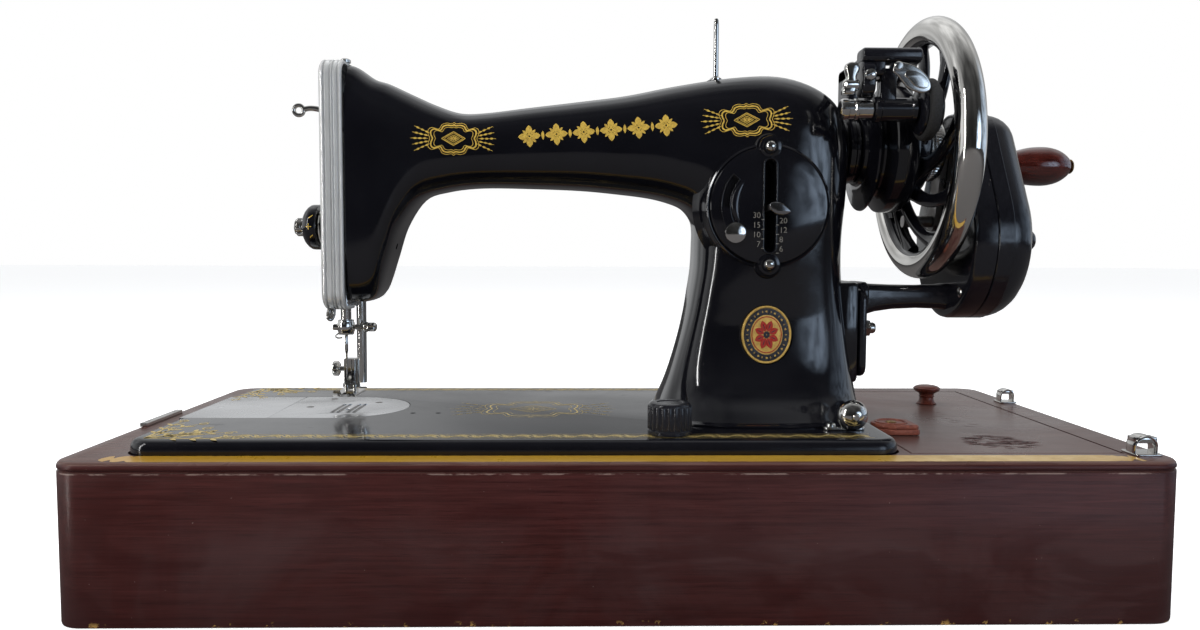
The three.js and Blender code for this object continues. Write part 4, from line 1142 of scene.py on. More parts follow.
def fleuron():
    """A bold diamond flower, as wide as it is tall."""
    strokes = []
    for t in turns(4):
        strokes.append(
            leaf(0.9 * math.cos(t), 0.9 * math.sin(t), 6.0 * math.cos(t), 6.0 * math.sin(t), 3.4, 8)
        )
        t += math.pi / 4
        strokes.append(
            leaf(1.2 * math.cos(t), 1.2 * math.sin(t), 4.9 * math.cos(t), 4.9 * math.sin(t), 1.5, 6)
        )
    strokes.append((circle(0, 0, 0.95, 16), 0.9, True))
    return strokes


def scroll(turns=1.35, r=3.0, steps=22):
    return [
        (
            r * (1 - 0.78 * i / steps) * math.cos(TAU * turns * i / steps),
            r * (1 - 0.78 * i / steps) * math.sin(TAU * turns * i / steps),
        )
        for i in range(steps + 1)
    ]


def border_link(length=15.0, tall=8.0):
    """One link of the running border: two curls and a leaf between thin lines."""
    strokes = []
    for side in (-1, 1):
        curl = scroll()
        strokes.append(
            (
                [(side * (length * 0.24 + a * 0.8), side * b * 0.75) for a, b in curl],
                [0.9 - 0.5 * i / len(curl) for i in range(len(curl))], False,
            )
        )
        wave = [
            (side * length * t / 2, side * (tall * 0.36 * math.sin(math.pi * t) + 0.5))
            for t in (i / 10 for i in range(11))
        ]
        strokes.append((wave, 0.75, False))
        strokes.append(leaf(side * length * 0.3, -side * 1.0, side * length * 0.5, -side * 3.4, 1.5))
    strokes.append(leaf(-2.6, 0, 2.6, 0, 1.7))
    return strokes


def corner_spray():
    """Scrolls and leaves spreading from a corner along both edges."""
    strokes = []
    for k, (reach, bend) in enumerate(((44, 0.0), (38, 0.32), (30, 0.62), (40, 1.2), (32, 0.92), (46, 1.57))):
        line = []
        for i in range(19):
            t = i / 18
            a = bend + 0.35 * math.sin(t * 3.0) * (1 if k % 2 else -1) * (0.6 if 0 < bend < 1.5 else 0.15)
            line.append((4 + reach * t * math.cos(a), 3 + reach * t * math.sin(a)))
        strokes.append((line, [1.5 - 1.1 * i / 18 for i in range(19)], False))
        for i in (5, 9, 13):
            x, y = line[i]
            for s in (-1, 1):
                a = bend + s * 0.75
                strokes.append(leaf(x, y, x + 6.5 * math.cos(a), y + 6.5 * math.sin(a), 2.1))
        end = line[-1]
        strokes += moved([(scroll(1.2, 3.2), 0.8, False)], end[0], end[1], turn=bend)
    return strokes


def transfers():
    left = moved(cartouche(), -88, 234)
    right = moved(cartouche(), 67.5, 243.2, 1.06, 1.0, 0.03)
    frieze = []
    slope = math.radians(4.3)
    for i in range(6):
        t = (i - 2.5) * 14.6
        frieze += moved(fleuron(), -11 + t * math.cos(slope), 238 + t * math.sin(slope), 1.0, 0.98, slope)
        if i < 5:
            t += 7.3
            frieze += moved(
                [leaf(0, -2.4, 0, 2.4, 1.7)], -11 + t * math.cos(slope), 238 + t * math.sin(slope),
                turn=slope,
            )
    arm_gold = strokes_mesh("arm_transfers", left + right + frieze, on_arm, GOLD, FRONT)
    stand(arm_gold, "head")
    bed_gold = moved(cartouche(), -47, -13, 2.1, 3.2, w=1.3)
    for y, flip in ((-92.5, 1), (63.5, -1)):
        x = -186
        while x < 124:
            bed_gold += moved(border_link(), x, y, 1, flip * 0.82)
            x += 15
        for dy in (-4.6, 4.6):
            bed_gold.append(([(-222 + 345 * i / 60, y + dy) for i in range(61)], 0.4, False))
    bed_gold += moved(corner_spray(), -232, -100)
    bed_gold += moved(corner_spray(), -232, 70, 1, -1)
    flat = strokes_mesh("bed_transfers", bed_gold, on_bed, BED_GOLD, UP)
    stand(flat, "head")


transfers()
lid_wear()


# ---------------------------------------------------------------- badge and dial

def badge():
    """An oval medallion: gold rim, dark ring of beads, gold field and a red rosette."""
    x, z = BADGE
    face = plate("badge_field", "y", [circle(x, z, 15.4, 96, 13.2)], -50.2, -48.4, BADGE_GOLD, 0.3)
    dark = plate("badge_ring", "y", [
        circle(x, z, 14.2, 96, 12.0), circle(x, z, 10.6, 96, 8.6),
    ], -50.35, -50.1, INK, 0.1)
    rings = []
    for a in turns(96):
        c, s = math.cos(a), math.sin(a)
        rings.append([
            (
                x + (12.7 + 0.55 * math.cos(b)) * c, -50.3 + 0.45 * math.sin(b),
                z + (14.9 + 0.55 * math.cos(b)) * s,
            )
            for b in turns(12)
        ])
    pieces = [face, dark, loft("rim", rings, BADGE_GOLD, closed=True)]

    def at(a, b):
        return Vector((x + a * 0.945, -50.42, z + b))

    beads = []
    for i in range(28):
        a = TAU * i / 28
        c, s = math.cos(a), math.sin(a)
        beads.append(
            leaf(11.1 * c - 0.9 * s * (i % 2), 12.6 * s + 0.9 * c * (i % 2), 10.7 * c, 12.2 * s, 0.9, 4)
        )
        beads.append(leaf(10.2 * c, 11.7 * s, 11.6 * c, 13.1 * s, 0.55, 4))
    pieces.append(strokes_mesh("beads", beads, at, BADGE_GOLD, FRONT))
    petals = []
    for i in range(8):
        a = TAU * i / 8 + math.pi / 8
        c, s = math.cos(a), math.sin(a)
        petals.append(leaf(1.6 * c, 1.8 * s, 7.0 * c, 8.0 * s, 3.6, 10))
    petals.append((circle(0, 0, 9.6, 64, 8.3), 0.5, True))
    pieces.append(strokes_mesh("rosette", petals, at, RED, FRONT))
    eye = [(circle(0, 0, 1.1, 24, 1.0), 1.5, True)]
    eye += [
        leaf(2.6 * math.cos(a), 3.0 * math.sin(a), 5.6 * math.cos(a), 6.4 * math.sin(a), 0.5)
        for a in (TAU * i / 8 + math.pi / 8 for i in range(8))
    ]
    pieces.append(strokes_mesh("eye", eye, lambda a, b: at(a, b) + Vector((0, -0.06, 0)), INK, FRONT))
    stand(merge("oval_badge", *pieces), "head", "badge")


def screw_head(name, axis, at, base, top, r, material, slot_turn=0.0, slot=0.5):
    """A domed slotted screw head."""
    way = 1 if top > base else -1
    h = abs(top - base)
    profile = [
        (0, base), (r, base), (r, base + way * h * 0.45), (r * 0.86, base + way * h * 0.75),
        (r * 0.5, base + way * h * 0.95), (0, top),
    ]
    head = lathe(name, axis, at, profile, material, 40)
    c, s = math.cos(slot_turn), math.sin(slot_turn)
    a, b = slot / 2, r * 1.2
    corners = ((-b, -a), (b, -a), (b, a), (-b, a))
    outline = [(at[0] + u * c - v * s, at[1] + u * s + v * c) for u, v in corners]
    low, high = sorted((top - way * h * 0.4, top + way))
    return carve(head, plate("tool", axis, [outline], low, high, material, 0.01, 1))


def dial():
    x, z = DIAL
    face = lathe("dial", "y", (x, z), [
        (0, -50.3), (30.6, -50.3), (31.0, -50.9), (30.9, -52.2), (30.4, -53.0), (29.2, -53.3), (24, -54.2),
        (15, -55.0), (0, -55.3),
    ], JAPAN, 128, 0, 30)
    slot = rounded(x - 3.0, x + 3.0, z - 24.4, z + 24, 2.9, 10)
    outer = arc(x, z, 24.9, 2.45, 3.95, 40)
    inner = arc(x, z, 21.1, 3.95, 2.45, 40)
    face = carve(
        face, plate("tool", "y", [slot], -60, -45, JAPAN, 0.01, 1),
        plate("tool", "y", [outer + inner], -60, -51.6, JAPAN, 0.01, 1),
    )
    pieces = [face]
    pieces.append(
        plate("slot_rim", "y", [
            rounded(x - 3.9, x + 3.9, z - 25.3, z + 24.9, 3.8, 10), slot,
        ], -55.75, -54.0, JAPAN, 0.4)
    )
    band_out = arc(x, z, 25.6, 2.42, 3.98, 40)
    band_in = arc(x, z, 20.4, 3.98, 2.42, 40)
    pieces.append(plate("arc_rim", "y", [band_out + band_in, outer + inner], -54.95, -53.2, JAPAN, 0.35))
    crescent = []
    for i in range(25):
        a = 2.42 + 1.25 * i / 24
        swell = math.sin(math.pi * i / 24) ** 0.6
        middle = 18.3
        crescent.append([
            Vector(
                (
                    x + (middle + 2.3 * swell * math.cos(b)) * math.cos(a),
                    -54.6 - 1.15 * swell * math.sin(b),
                    z + (middle + 2.3 * swell * math.cos(b)) * math.sin(a),
                )
            )
            for b in turns(14)
        ])
    pieces.append(loft("crescent", crescent, JAPAN))
    for at in DIAL_EARS:
        pieces.append(
            lathe("ear", "y", (x, z + at), [
                (0, -50.3), (6.0, -50.3), (6.0, -53.2), (5.5, -54.2), (4.2, -54.6), (3.6, -54.1),
                (0, -54.0),
            ], JAPAN, 48)
        )
    stand(merge("dial_face", *pieces), "head", "dial_plate")
    for name, at, turn in (("dial_screw_top", DIAL_EARS[0], 1.9), ("dial_screw_bottom", DIAL_EARS[1], -0.3)):
        stand(screw_head(name + "_fine", "y", (x, z + at), -53.4, -57.3, 3.0, CHROME, turn), "head", name)
    tab = [
        (78.2, 195.6), (80.6, 193.6), (84.6, 192.9), (87.8, 193.8), (88.8, 195.0), (86.6, 197.2),
        (83.4, 199.2), (79.6, 199.6), (77.4, 198.2),
    ]
    tab = smooth_loop(tab)
    lever = plate("tab", "y", [tab], -61.0, -59.4, DARK_CHROME, 0.75)
    blade = block("blade", x - 1.4, x + 1.4, -60.4, -8, z - 2.6, z + 0.4, STEEL, 0.3)
    hub = lathe("hub", "x", (-8, z - 1.1), [(0, x - 5), (4.5, x - 5), (4.5, x + 5), (0, x + 5)], STEEL, 32)
    stand(merge("stitch_tab", lever, blade, hub), "stitch_control", "stitch_lever")
    a = math.radians(218)
    cx, cz = x + 23 * math.cos(a), z + 23 * math.sin(a)
    nut = lathe("nut", "y", (cx, cz), [
        (0, -57.6), (4.4, -57.5), (5.3, -57.1), (5.5, -56.6), (5.5, -55.8), (5.1, -55.4), (1.3, -55.3),
        (1.3, -51.7), (0, -51.6),
    ], CHROME, 64)
    stand(nut, "stitch_stop", "stop_nut")
    nut.name = "stop_nut_turned"
    marks = []
    for side, labels in (
        (-1, (("30", 191.6), ("15", 186.5), ("10", 181.5), ("7", 176.6))),
        (1, (("20", 188.8), ("12", 183.9), ("8", 179.0), ("6", 174.1))),
    ):
        for text, h in labels:
            curve = bpy.data.curves.new("digits", "FONT")
            curve.body = text
            curve.size = 4.2 * MM
            curve.offset = -0.055 * MM
            curve.align_x = "RIGHT" if side < 0 else "LEFT"
            curve.extrude = 0.04 * MM
            obj = link(bpy.data.objects.new("digits", curve))
            obj.matrix_world = Matrix.Translation(
                Vector((x + side * 4.9, -55.26, h)) * MM
            ) @ Matrix.Rotation(math.pi / 2, 4, "X")
            digits = baked(obj)
            digits.data.materials.clear()
            digits.data.materials.append(IVORY)
            marks.append(digits)
            marks.append(
                block(
                    "tick", *sorted((x + side * 3.2, x + side * 4.6)), -55.86, -55.7, h - 1.0, h - 0.7,
                    IVORY, 0,
                )
            )
    stand(merge("dial_numbers", *marks), "head")


badge()
dial()


# ---------------------------------------------------------------- face plate, tension, take-up

def face_plate():
    steps = [
        (-159, 2.6), (-158.8, 1.5), (-158.2, 0.7), (-157.6, 0.25), (-156.9, 0), (-156.5, 0.1),
        (-156.3, 0.7), (-155.7, 0.7),
        (-155.5, 0.1), (-154.9, 0), (-153.3, 0), (-153.1, 0.55), (-152.6, 0.55), (-152.4, 0), (-151.8, 0),
        (-151.6, 0.55),
        (-151.1, 0.55), (-150.9, 0), (-149.4, 0), (-149.2, 0.7), (-148.6, 0.7), (-148.4, 0.1), (-147.2, 0),
        (-146.7, 0.3),
        (-146.6, 0.6),
    ]
    rings = [
        [(x, y, z) for y, z in rounded(-41 + i, 11 - i, 142 + i, 276 - i, 9 - i * 0.6, 12)]
        for x, i in steps
    ]
    shell = carve(
        loft("face_shell", rings, ENGRAVED, 40),
        plate("tool", "x", [rounded(-39.2, 9.2, 143.8, 274.2, 7.4, 8)], -157.4, -140, WOOD, 0.01, 1),
        plate("tool", "x", [rounded(-28.1, -22.9, 198, 264, 2.5, 8)], -161, -156, WOOD, 0.01, 1),
        cylinder("x", TENSION, 3.2, -161, -155), cutter(-157.3, -140, -18, 1, 140, 145),
        cutter(-151.6, -140, 0, 20, 160, 176),
    )
    pieces = [shell]
    for k, z in enumerate((216, 150.5)):
        pieces.append(screw_head("face_screw", "x", (-4, z), -158.8, -161.0, 3.4, CHROME, 0.5 + k))
    pieces.append(
        lathe("top_screw", "z", (-148.2, -24), [
            (0, 275.2), (2.1, 275.2), (2.1, 275.9), (2.8, 276.2), (2.8, 277.6), (1.9, 278.3), (0, 278.5),
        ], WORN_CHROME, 32)
    )
    pieces.append(
        plate("scroll_panel", "x", [
            rounded(-36, 6, 150, 192, 5, 8), rounded(-34.8, 4.8, 151.2, 190.8, 4.2, 8),
        ], -159.5, -158.7, CHROME, 0.2)
    )
    pieces.append(
        plate("scroll_panel", "x", [
            rounded(-19, 6, 224, 268, 5, 8), rounded(-17.8, 4.8, 225.2, 266.8, 4.2, 8),
        ], -159.5, -158.7, CHROME, 0.2)
    )
    guide = wire("guide", [
        (-157.2, -30, 143), (-157.6, -32, 140.5), (-157.2, -34, 137.4), (-155.6, -33.6, 136.6),
        (-154.8, -31.6, 139), (-154.8, -30.4, 143),
    ], 1.0, WORN_CHROME)
    pieces.append(guide)
    pieces.append(
        plate("guide_tab", "y", [
            [(-158, 144)] + arc(-156.2, 139.4, 2.2, math.pi, TAU, 14) + [(-153.6, 144)],
        ], -31.6, -29.8, WORN_CHROME, 0.5)
    )
    stand(merge("face_cover", *pieces), "head", "face_plate")


def scroll_engraving():
    """Raised scrollwork on the end of the face plate."""
    strokes = []
    for cz in (171, 246):
        cy = -15 if cz < 200 else -6.5
        wide = 1.0 if cz < 200 else 0.58
        for sy in (-1, 1):
            for sz in (-1, 1):
                strokes += moved(
                    [(scroll(1.5, 6.2), 1.0, False)], cy + sy * 9 * wide, cz + sz * 9, sy * wide, sz,
                )
                strokes.append(leaf(cy, cz, cy + sy * 15 * wide, cz + sz * 15, 2.4))
        strokes.append(leaf(cy, cz - 14, cy, cz + 14, 2.6))
        strokes.append(leaf(cy - 14 * wide, cz, cy + 14 * wide, cz, 2.6))
    made = strokes_mesh(
        "face_scrolls", strokes, lambda a, b: Vector((-159.06, a, b)), CHROME, Vector((-1, 0, 0)),
    )
    stand(made, "head")


def knurled(name, axis, at, r, low, high, material, teeth=36, depth=0.35, bore_r=1.9):
    """A straight-knurled thumb nut."""
    outline = []
    for i in range(teeth * 4):
        a = TAU * i / (teeth * 4)
        rr = r - (depth if i % 4 >= 2 else 0)
        outline.append((at[0] + rr * math.cos(a), at[1] + rr * math.sin(a)))
    return plate(name, axis, [outline, circle(at[0], at[1], bore_r, 32)], low, high, material, 0.3, 2)


def tension():
    (y, z), x = TENSION, FACE_X
    stud = [
        lathe("stud", "x", (y, z), [
            (0, x - 19.9), (1.1, x - 19.9), (1.6, x - 19.4), (1.6, x - 4.6), (0, x - 4.6),
        ], CHROME, 32),
        lathe("disc_a", "x", (y, z), [
            (1.5, x - 4.4), (6, x - 4.3), (9.3, x - 4.6), (9.7, x - 4.2), (9.4, x - 3.6), (6, x - 2.9),
            (1.5, x - 2.8),
        ], CHROME, 64),
        lathe("disc_b", "x", (y, z), [
            (1.5, x - 2.5), (6, x - 2.4), (9.4, x - 1.5), (9.7, x - 1.0), (9.3, x - 0.6), (6, x - 0.9),
            (1.5, x - 0.8),
        ], CHROME, 64),
        lathe("shank", "x", (y, z), [(0, x - 2.9), (3, x - 2.9), (3, x + 4.8), (0, x + 4.8)], STEEL, 32),
    ]
    coil = [
        (x - 0.9 + 0.5 * math.sin(t * 0.2), y + 10.4 * math.cos(t), z + 10.4 * math.sin(t))
        for t in (0.9 + k * 0.16 for k in range(18))
    ]
    stud.append(wire("check_spring", coil, 0.35, CHROME, 2, 8))
    stand(merge("tension_post", *stud), "head", "tension_stud")
    dial = lathe("tension_cup", "x", (y, z), [
        (1.95, x - 13.9), (6.4, x - 14), (7.3, x - 13.7), (9.4, x - 12.6), (11.2, x - 11), (12.2, x - 9.4),
        (12.4, x - 8.2),
        (12.4, x - 5.6), (12.1, x - 5.1), (9, x - 4.75), (1.95, x - 4.75), (1.95, x - 13.9),
    ], JAPAN, 96, 0, 30)
    cup = surface_of(dial)

    def line(ax, az, bx, bz):
        return ([(ax + (bx - ax) * i / 5, az + (bz - az) * i / 5) for i in range(6)], 0.42, False)

    marks = [
        line(x - 8.6, z - 1.7, x - 8.6, z + 1.7), line(x - 10.2, z, x - 7.0, z),
        line(x - 8.6, z + 4.6, x - 6.6, z + 6.2), line(x - 8.0, z - 5.8, x - 6.4, z - 4.4),
    ]
    gold = strokes_mesh("marks", marks, lambda a, b: pressed(cup, a, b, y - 30, 0.06, y - 12), GOLD, FRONT)
    stand(merge("tension_cup_marked", dial, gold), "thread_dial", "tension_dial")
    nut = merge(
        "tension_thumb_nut",
        lathe("nut_body", "x", (y, z), [
            (1.95, x - 18.8), (3.9, x - 18.9), (4.5, x - 18.4), (4.5, x - 14.8), (4.1, x - 14.35),
            (1.95, x - 14.35), (1.95, x - 18.8),
        ], CHROME, 48),
        knurled("nut_rim", "x", (y, z), 5.0, x - 17.9, x - 15.4, CHROME, 28),
    )
    stand(nut, "thread_dial", "tension_nut")


def take_up():
    (x, z), y = TAKE_UP, -25.5
    path = [
        (x - 2, y, z + 2), (x - 7, y, z + 11), (x - 12.5, y, z + 18.4), (x - 18, y, z + 21.6),
        (x - 23, y, z + 22.4), (x - 27, y, z + 21.8),
    ]
    rodline = wire("lever", path, 1.5, CHROME, 6, 14, 0.9)
    eye = torus("eye", "y", (x - 29.6, z + 21.3), y, 2.7, 1.1, CHROME, 40, 14)
    hub = lathe("hub", "y", (x, z), [
        (2.15, y - 2.5), (4.2, y - 2.5), (4.2, y + 2.5), (2.15, y + 2.5), (2.15, y - 2.5),
    ], STEEL, 40)
    stand(merge("take_up_arm", rodline, eye, hub), "take_up", "take_up_lever")


face_plate()
scroll_engraving()
tension()
take_up()


# ---------------------------------------------------------------- needle and presser

def needle_parts():
    x, y = NEEDLE
    bar = lathe("needle_rod", "z", (x, y), [
        (0, 127), (2.4, 127), (2.9, 127.6), (2.9, 261.4), (2.4, 262), (0, 262),
    ], CHROME, 40)
    lug = block("lug", x, -139.4, y - 4, y + 4, 212, 222, STEEL, 0.8)
    pin = rod("pin", "x", (y, 217), 2, -140, -136, STEEL)
    stand(merge("needle_bar_rod", bar, lug, pin), "needle_bar_set", "needle_bar")
    clamp = lathe("collar", "z", (x, y), [
        (3.05, 126.7), (4.0, 126.7), (4.4, 127.1), (4.4, 128.2), (4.75, 128.7), (4.75, 133.4), (4.4, 134.0),
        (4.4, 134.8), (4.0, 135.2), (3.05, 135.2), (3.05, 126.7),
    ], CHROME, 56)
    boss = block("boss", -160, -156.2, y - 2, y + 2, 129.3, 132.7, CHROME, 0.7)
    hook = wire("thread_guide", [
        (-156.4, y - 1, 127.6), (-157.6, y - 3.6, 126.2), (-156.2, y - 5.4, 125.2),
        (-153.6, y - 5.2, 125.4),
    ], 0.45, CHROME, 6, 10)
    stand(merge("needle_collar", clamp, boss, hook), "needle_bar_set", "needle_clamp")
    stem = lathe("stem", "x", (y, 131), [
        (0, -147.5), (1.5, -147.4), (1.5, -142.6), (2.6, -142.4), (2.9, -141.6), (2.9, -140.6), (0, -140.5),
    ], WORN_CHROME, 36)
    lobes = [
        (
            y + (3.9 - 0.9 * math.cos(2 * t) ** 2) * math.cos(t) * 1.12,
            131 + 2.6 * math.sin(t) * (0.82 + 0.18 * math.cos(2 * t) ** 2),
        )
        for t in turns(48)
    ]
    wing = plate("wing", "x", [lobes], -140.9, -135.7, WORN_CHROME, 1.1)
    stand(merge("clamp_thumb_screw", stem, wing), "needle_screw", "clamp_screw")
    fine = lathe("needle_fine", "z", (x, y), [
        (0, 101), (0.18, 101.8), (0.45, 104), (0.5, 105), (0.42, 106), (0.55, 107.4), (0.6, 116),
        (0.8, 116.8), (1.0, 117.4), (1.0, 126), (0.8, 126.4), (0, 126.4),
    ], CHROME, 24)
    stand(fine, "needle_bar_set", "needle")


def presser_parts():
    x, (px, py) = NEEDLE[0], PRESSER
    bar = lathe("presser_rod", "z", (px, py), [
        (0, 98), (2.8, 98), (2.8, 261.4), (2.3, 262), (0, 262),
    ], CHROME, 40)
    guide = block("guide", px - 1, -138, py, py + 7, 180.5, 187, STEEL, 0.6)
    shank = plate("shank", "x", [
        [(py - 4, 112), (py - 4, 99), (py - 3.2, 96.4), (py - 1.5, 94.2), (py + 1.6, 94),
         (py + 3, 96), (py + 4, 99.4), (py + 4, 112)],
    ], -156.4, -149.7, CHROME, 0.7)
    hinge = rod("hinge", "x", (py - 0.8, 96.4), 1.5, -157.4, -147.8, WORN_CHROME, 0.3)
    ears = [
        block("ear", x + s * 2.4 - 0.8, x + s * 2.4 + 0.8, py - 3.4, py + 2.6, 92.9, 97.2, CHROME, 0.5)
        for s in (-1, 1)
    ]

    def toe_height(along):
        return 91.85 + (max(0, -19.0 - along) ** 2) * 0.16 + (max(0, along + 2) ** 2) * 0.02

    section = [
        (-1, 0.35), (-0.94, 0), (-0.3, 0), (0.3, 0), (0.94, 0), (1, 0.35), (1, 1.3), (0.94, 1.65),
        (0.3, 1.7),
        (-0.3, 1.7), (-0.94, 1.65), (-1, 1.3),
    ]
    rings = []
    for k in range(25):
        yy = -23.0 + 24.0 * k / 24
        half = 6.4 + 0.5 * k / 24 - (0.9 if k == 0 else 0.35 if k == 1 else 0)
        z = toe_height(yy)
        rings.append([(x + a * half, yy, z + h) for a, h in section])
    sole = carve(loft("sole", rings, CHROME), cutter(x - 1.7, x + 1.7, -30, -9.5, 88, 100))
    stand(
        merge("presser_assembly", bar, guide, shank, hinge, sole, *ears), "presser", "presser_bar",
        "presser_foot",
    )
    screw = lathe("screw", "x", (py, 106), [
        (0, -156.9), (1.5, -156.9), (1.5, -159.3), (3.4, -159.5), (4.4, -160.2), (4.6, -160.8),
        (4.6, -162.4), (4.2, -163.0), (3.2, -163.4), (0, -163.5),
    ], CHROME, 48)
    stand(carve(screw, cutter(-165, -162.5, py - 0.5, py + 0.5, 100, 112)), "presser_screw", "foot_screw")
    cam = lathe("cam", "y", (-141, 166), [
        (0, 0.5), (5.2, 0.5), (5.5, 0.9), (5.5, 5.6), (5.2, 6), (0, 6),
    ], STEEL, 48)
    tail = block("tail", -143, -139, 3, 26, 164, 168, CHROME, 0.8)
    tab_shape = smooth_loop([
        (-145, 168.6), (-137, 168.6), (-137.2, 160), (-139, 156.4), (-141, 156), (-143, 156.4),
        (-144.8, 160),
    ], 4)
    tab = plate("tab", "y", [tab_shape], 20, 33.8, CHROME, 1.3)
    stand(merge("lifter_lever", cam, tail, tab), "lifter", "presser_lifter")


needle_parts()
presser_parts()


# ---------------------------------------------------------------- hand wheel

def smooth_spoke(angle, material):
    last = 14
    path = []
    for i in range(last + 1):
        t = i / last
        turn = angle - 0.8 * t
        radius = 24 + 35.4 * t
        path.append(
            Vector((164 + 9 * t, AXIS[0] + radius * math.cos(turn), AXIS[1] + radius * math.sin(turn)))
        )
    rings = []
    for i, p in enumerate(path):
        along = (path[min(i + 1, last)] - path[max(i - 1, 0)]).normalized()
        side = Vector((1, 0, 0)).cross(along).normalized()
        up = along.cross(side).normalized()
        t = i / last
        wide = 4.9 - 1.3 * math.sin(math.pi * t) + 2.2 * max(0, t - 0.8) / 0.2 + 1.6 * max(0, 0.15 - t) / 0.15
        thick = 3.0 + 0.8 * max(0, t - 0.85) / 0.15
        rings.append(
            [
                p + side * wide * math.cos(TAU * k / 16) + up * thick * math.sin(TAU * k / 16)
                for k in range(16)
            ]
        )
    return loft("spoke", rings, material)


def hand_wheel():
    stand(torus("wheel_ring", "x", AXIS, 173, 64.7, 7.6, RIM_CHROME, 160, 36), "wheel", "wheel_rim")
    hub = lathe("hub", "x", AXIS, [
        (7.3, 134), (18.6, 134), (20, 134.5), (20.6, 136), (25, 136.4), (26.4, 137.2), (32.6, 137.2),
        (34, 137.7), (34.2, 138.6),
        (33, 139.6), (28.8, 141.6), (28, 142.4), (28, 143.6), (29, 144.6), (33.6, 147), (34.8, 148),
        (35, 149.4), (35, 157.4), (34.6, 158.8),
        (33, 160.4), (29.6, 161.6), (27.4, 163), (25.2, 167.2), (23.6, 169.6), (21, 170.8), (16.8, 171),
        (7.3, 171), (7.3, 134),
    ], JAPAN, 112, 0, 28)
    inner = torus("inner_ring", "x", AXIS, 173, 60.2, 3.4, JAPAN, 120, 16, 1.7)
    spokes = [smooth_spoke(TAU * i / 9 + 0.157, JAPAN) for i in range(9)]
    stand(merge("wheel_centre", hub, inner, *spokes), "wheel", "wheel_spider")
    knob = merge(
        "clutch_knob",
        lathe("body", "x", AXIS, [
            (7.3, 171.4), (15.6, 171.4), (16.4, 172), (16.6, 173.2), (16.6, 178.8), (16.2, 180),
            (14.8, 181), (10, 181.9), (7.3, 182), (7.3, 171.4),
        ], CHROME, 72),
        knurled("grip", "x", AXIS, 17.4, 173.4, 178.6, CHROME, 60, 0.5, 15),
    )
    stand(knob, "wheel", "stop_motion_knob")
    collar = lathe("collar", "x", AXIS, [
        (7.15, 110), (15, 110), (15, 126.8), (17.6, 126.9), (18.8, 127.5), (19, 128.4), (19, 130.2),
        (18.4, 131), (18.4, 131.8), (18.8, 132.4), (18.2, 133.3), (7.15, 133.4), (7.15, 110),
    ], JAPAN, 88, 0, 28)
    stand(collar, "head", "shaft_bushing")
    collar.name = "shaft_collar"


hand_wheel()


# ---------------------------------------------------------------- bobbin winder

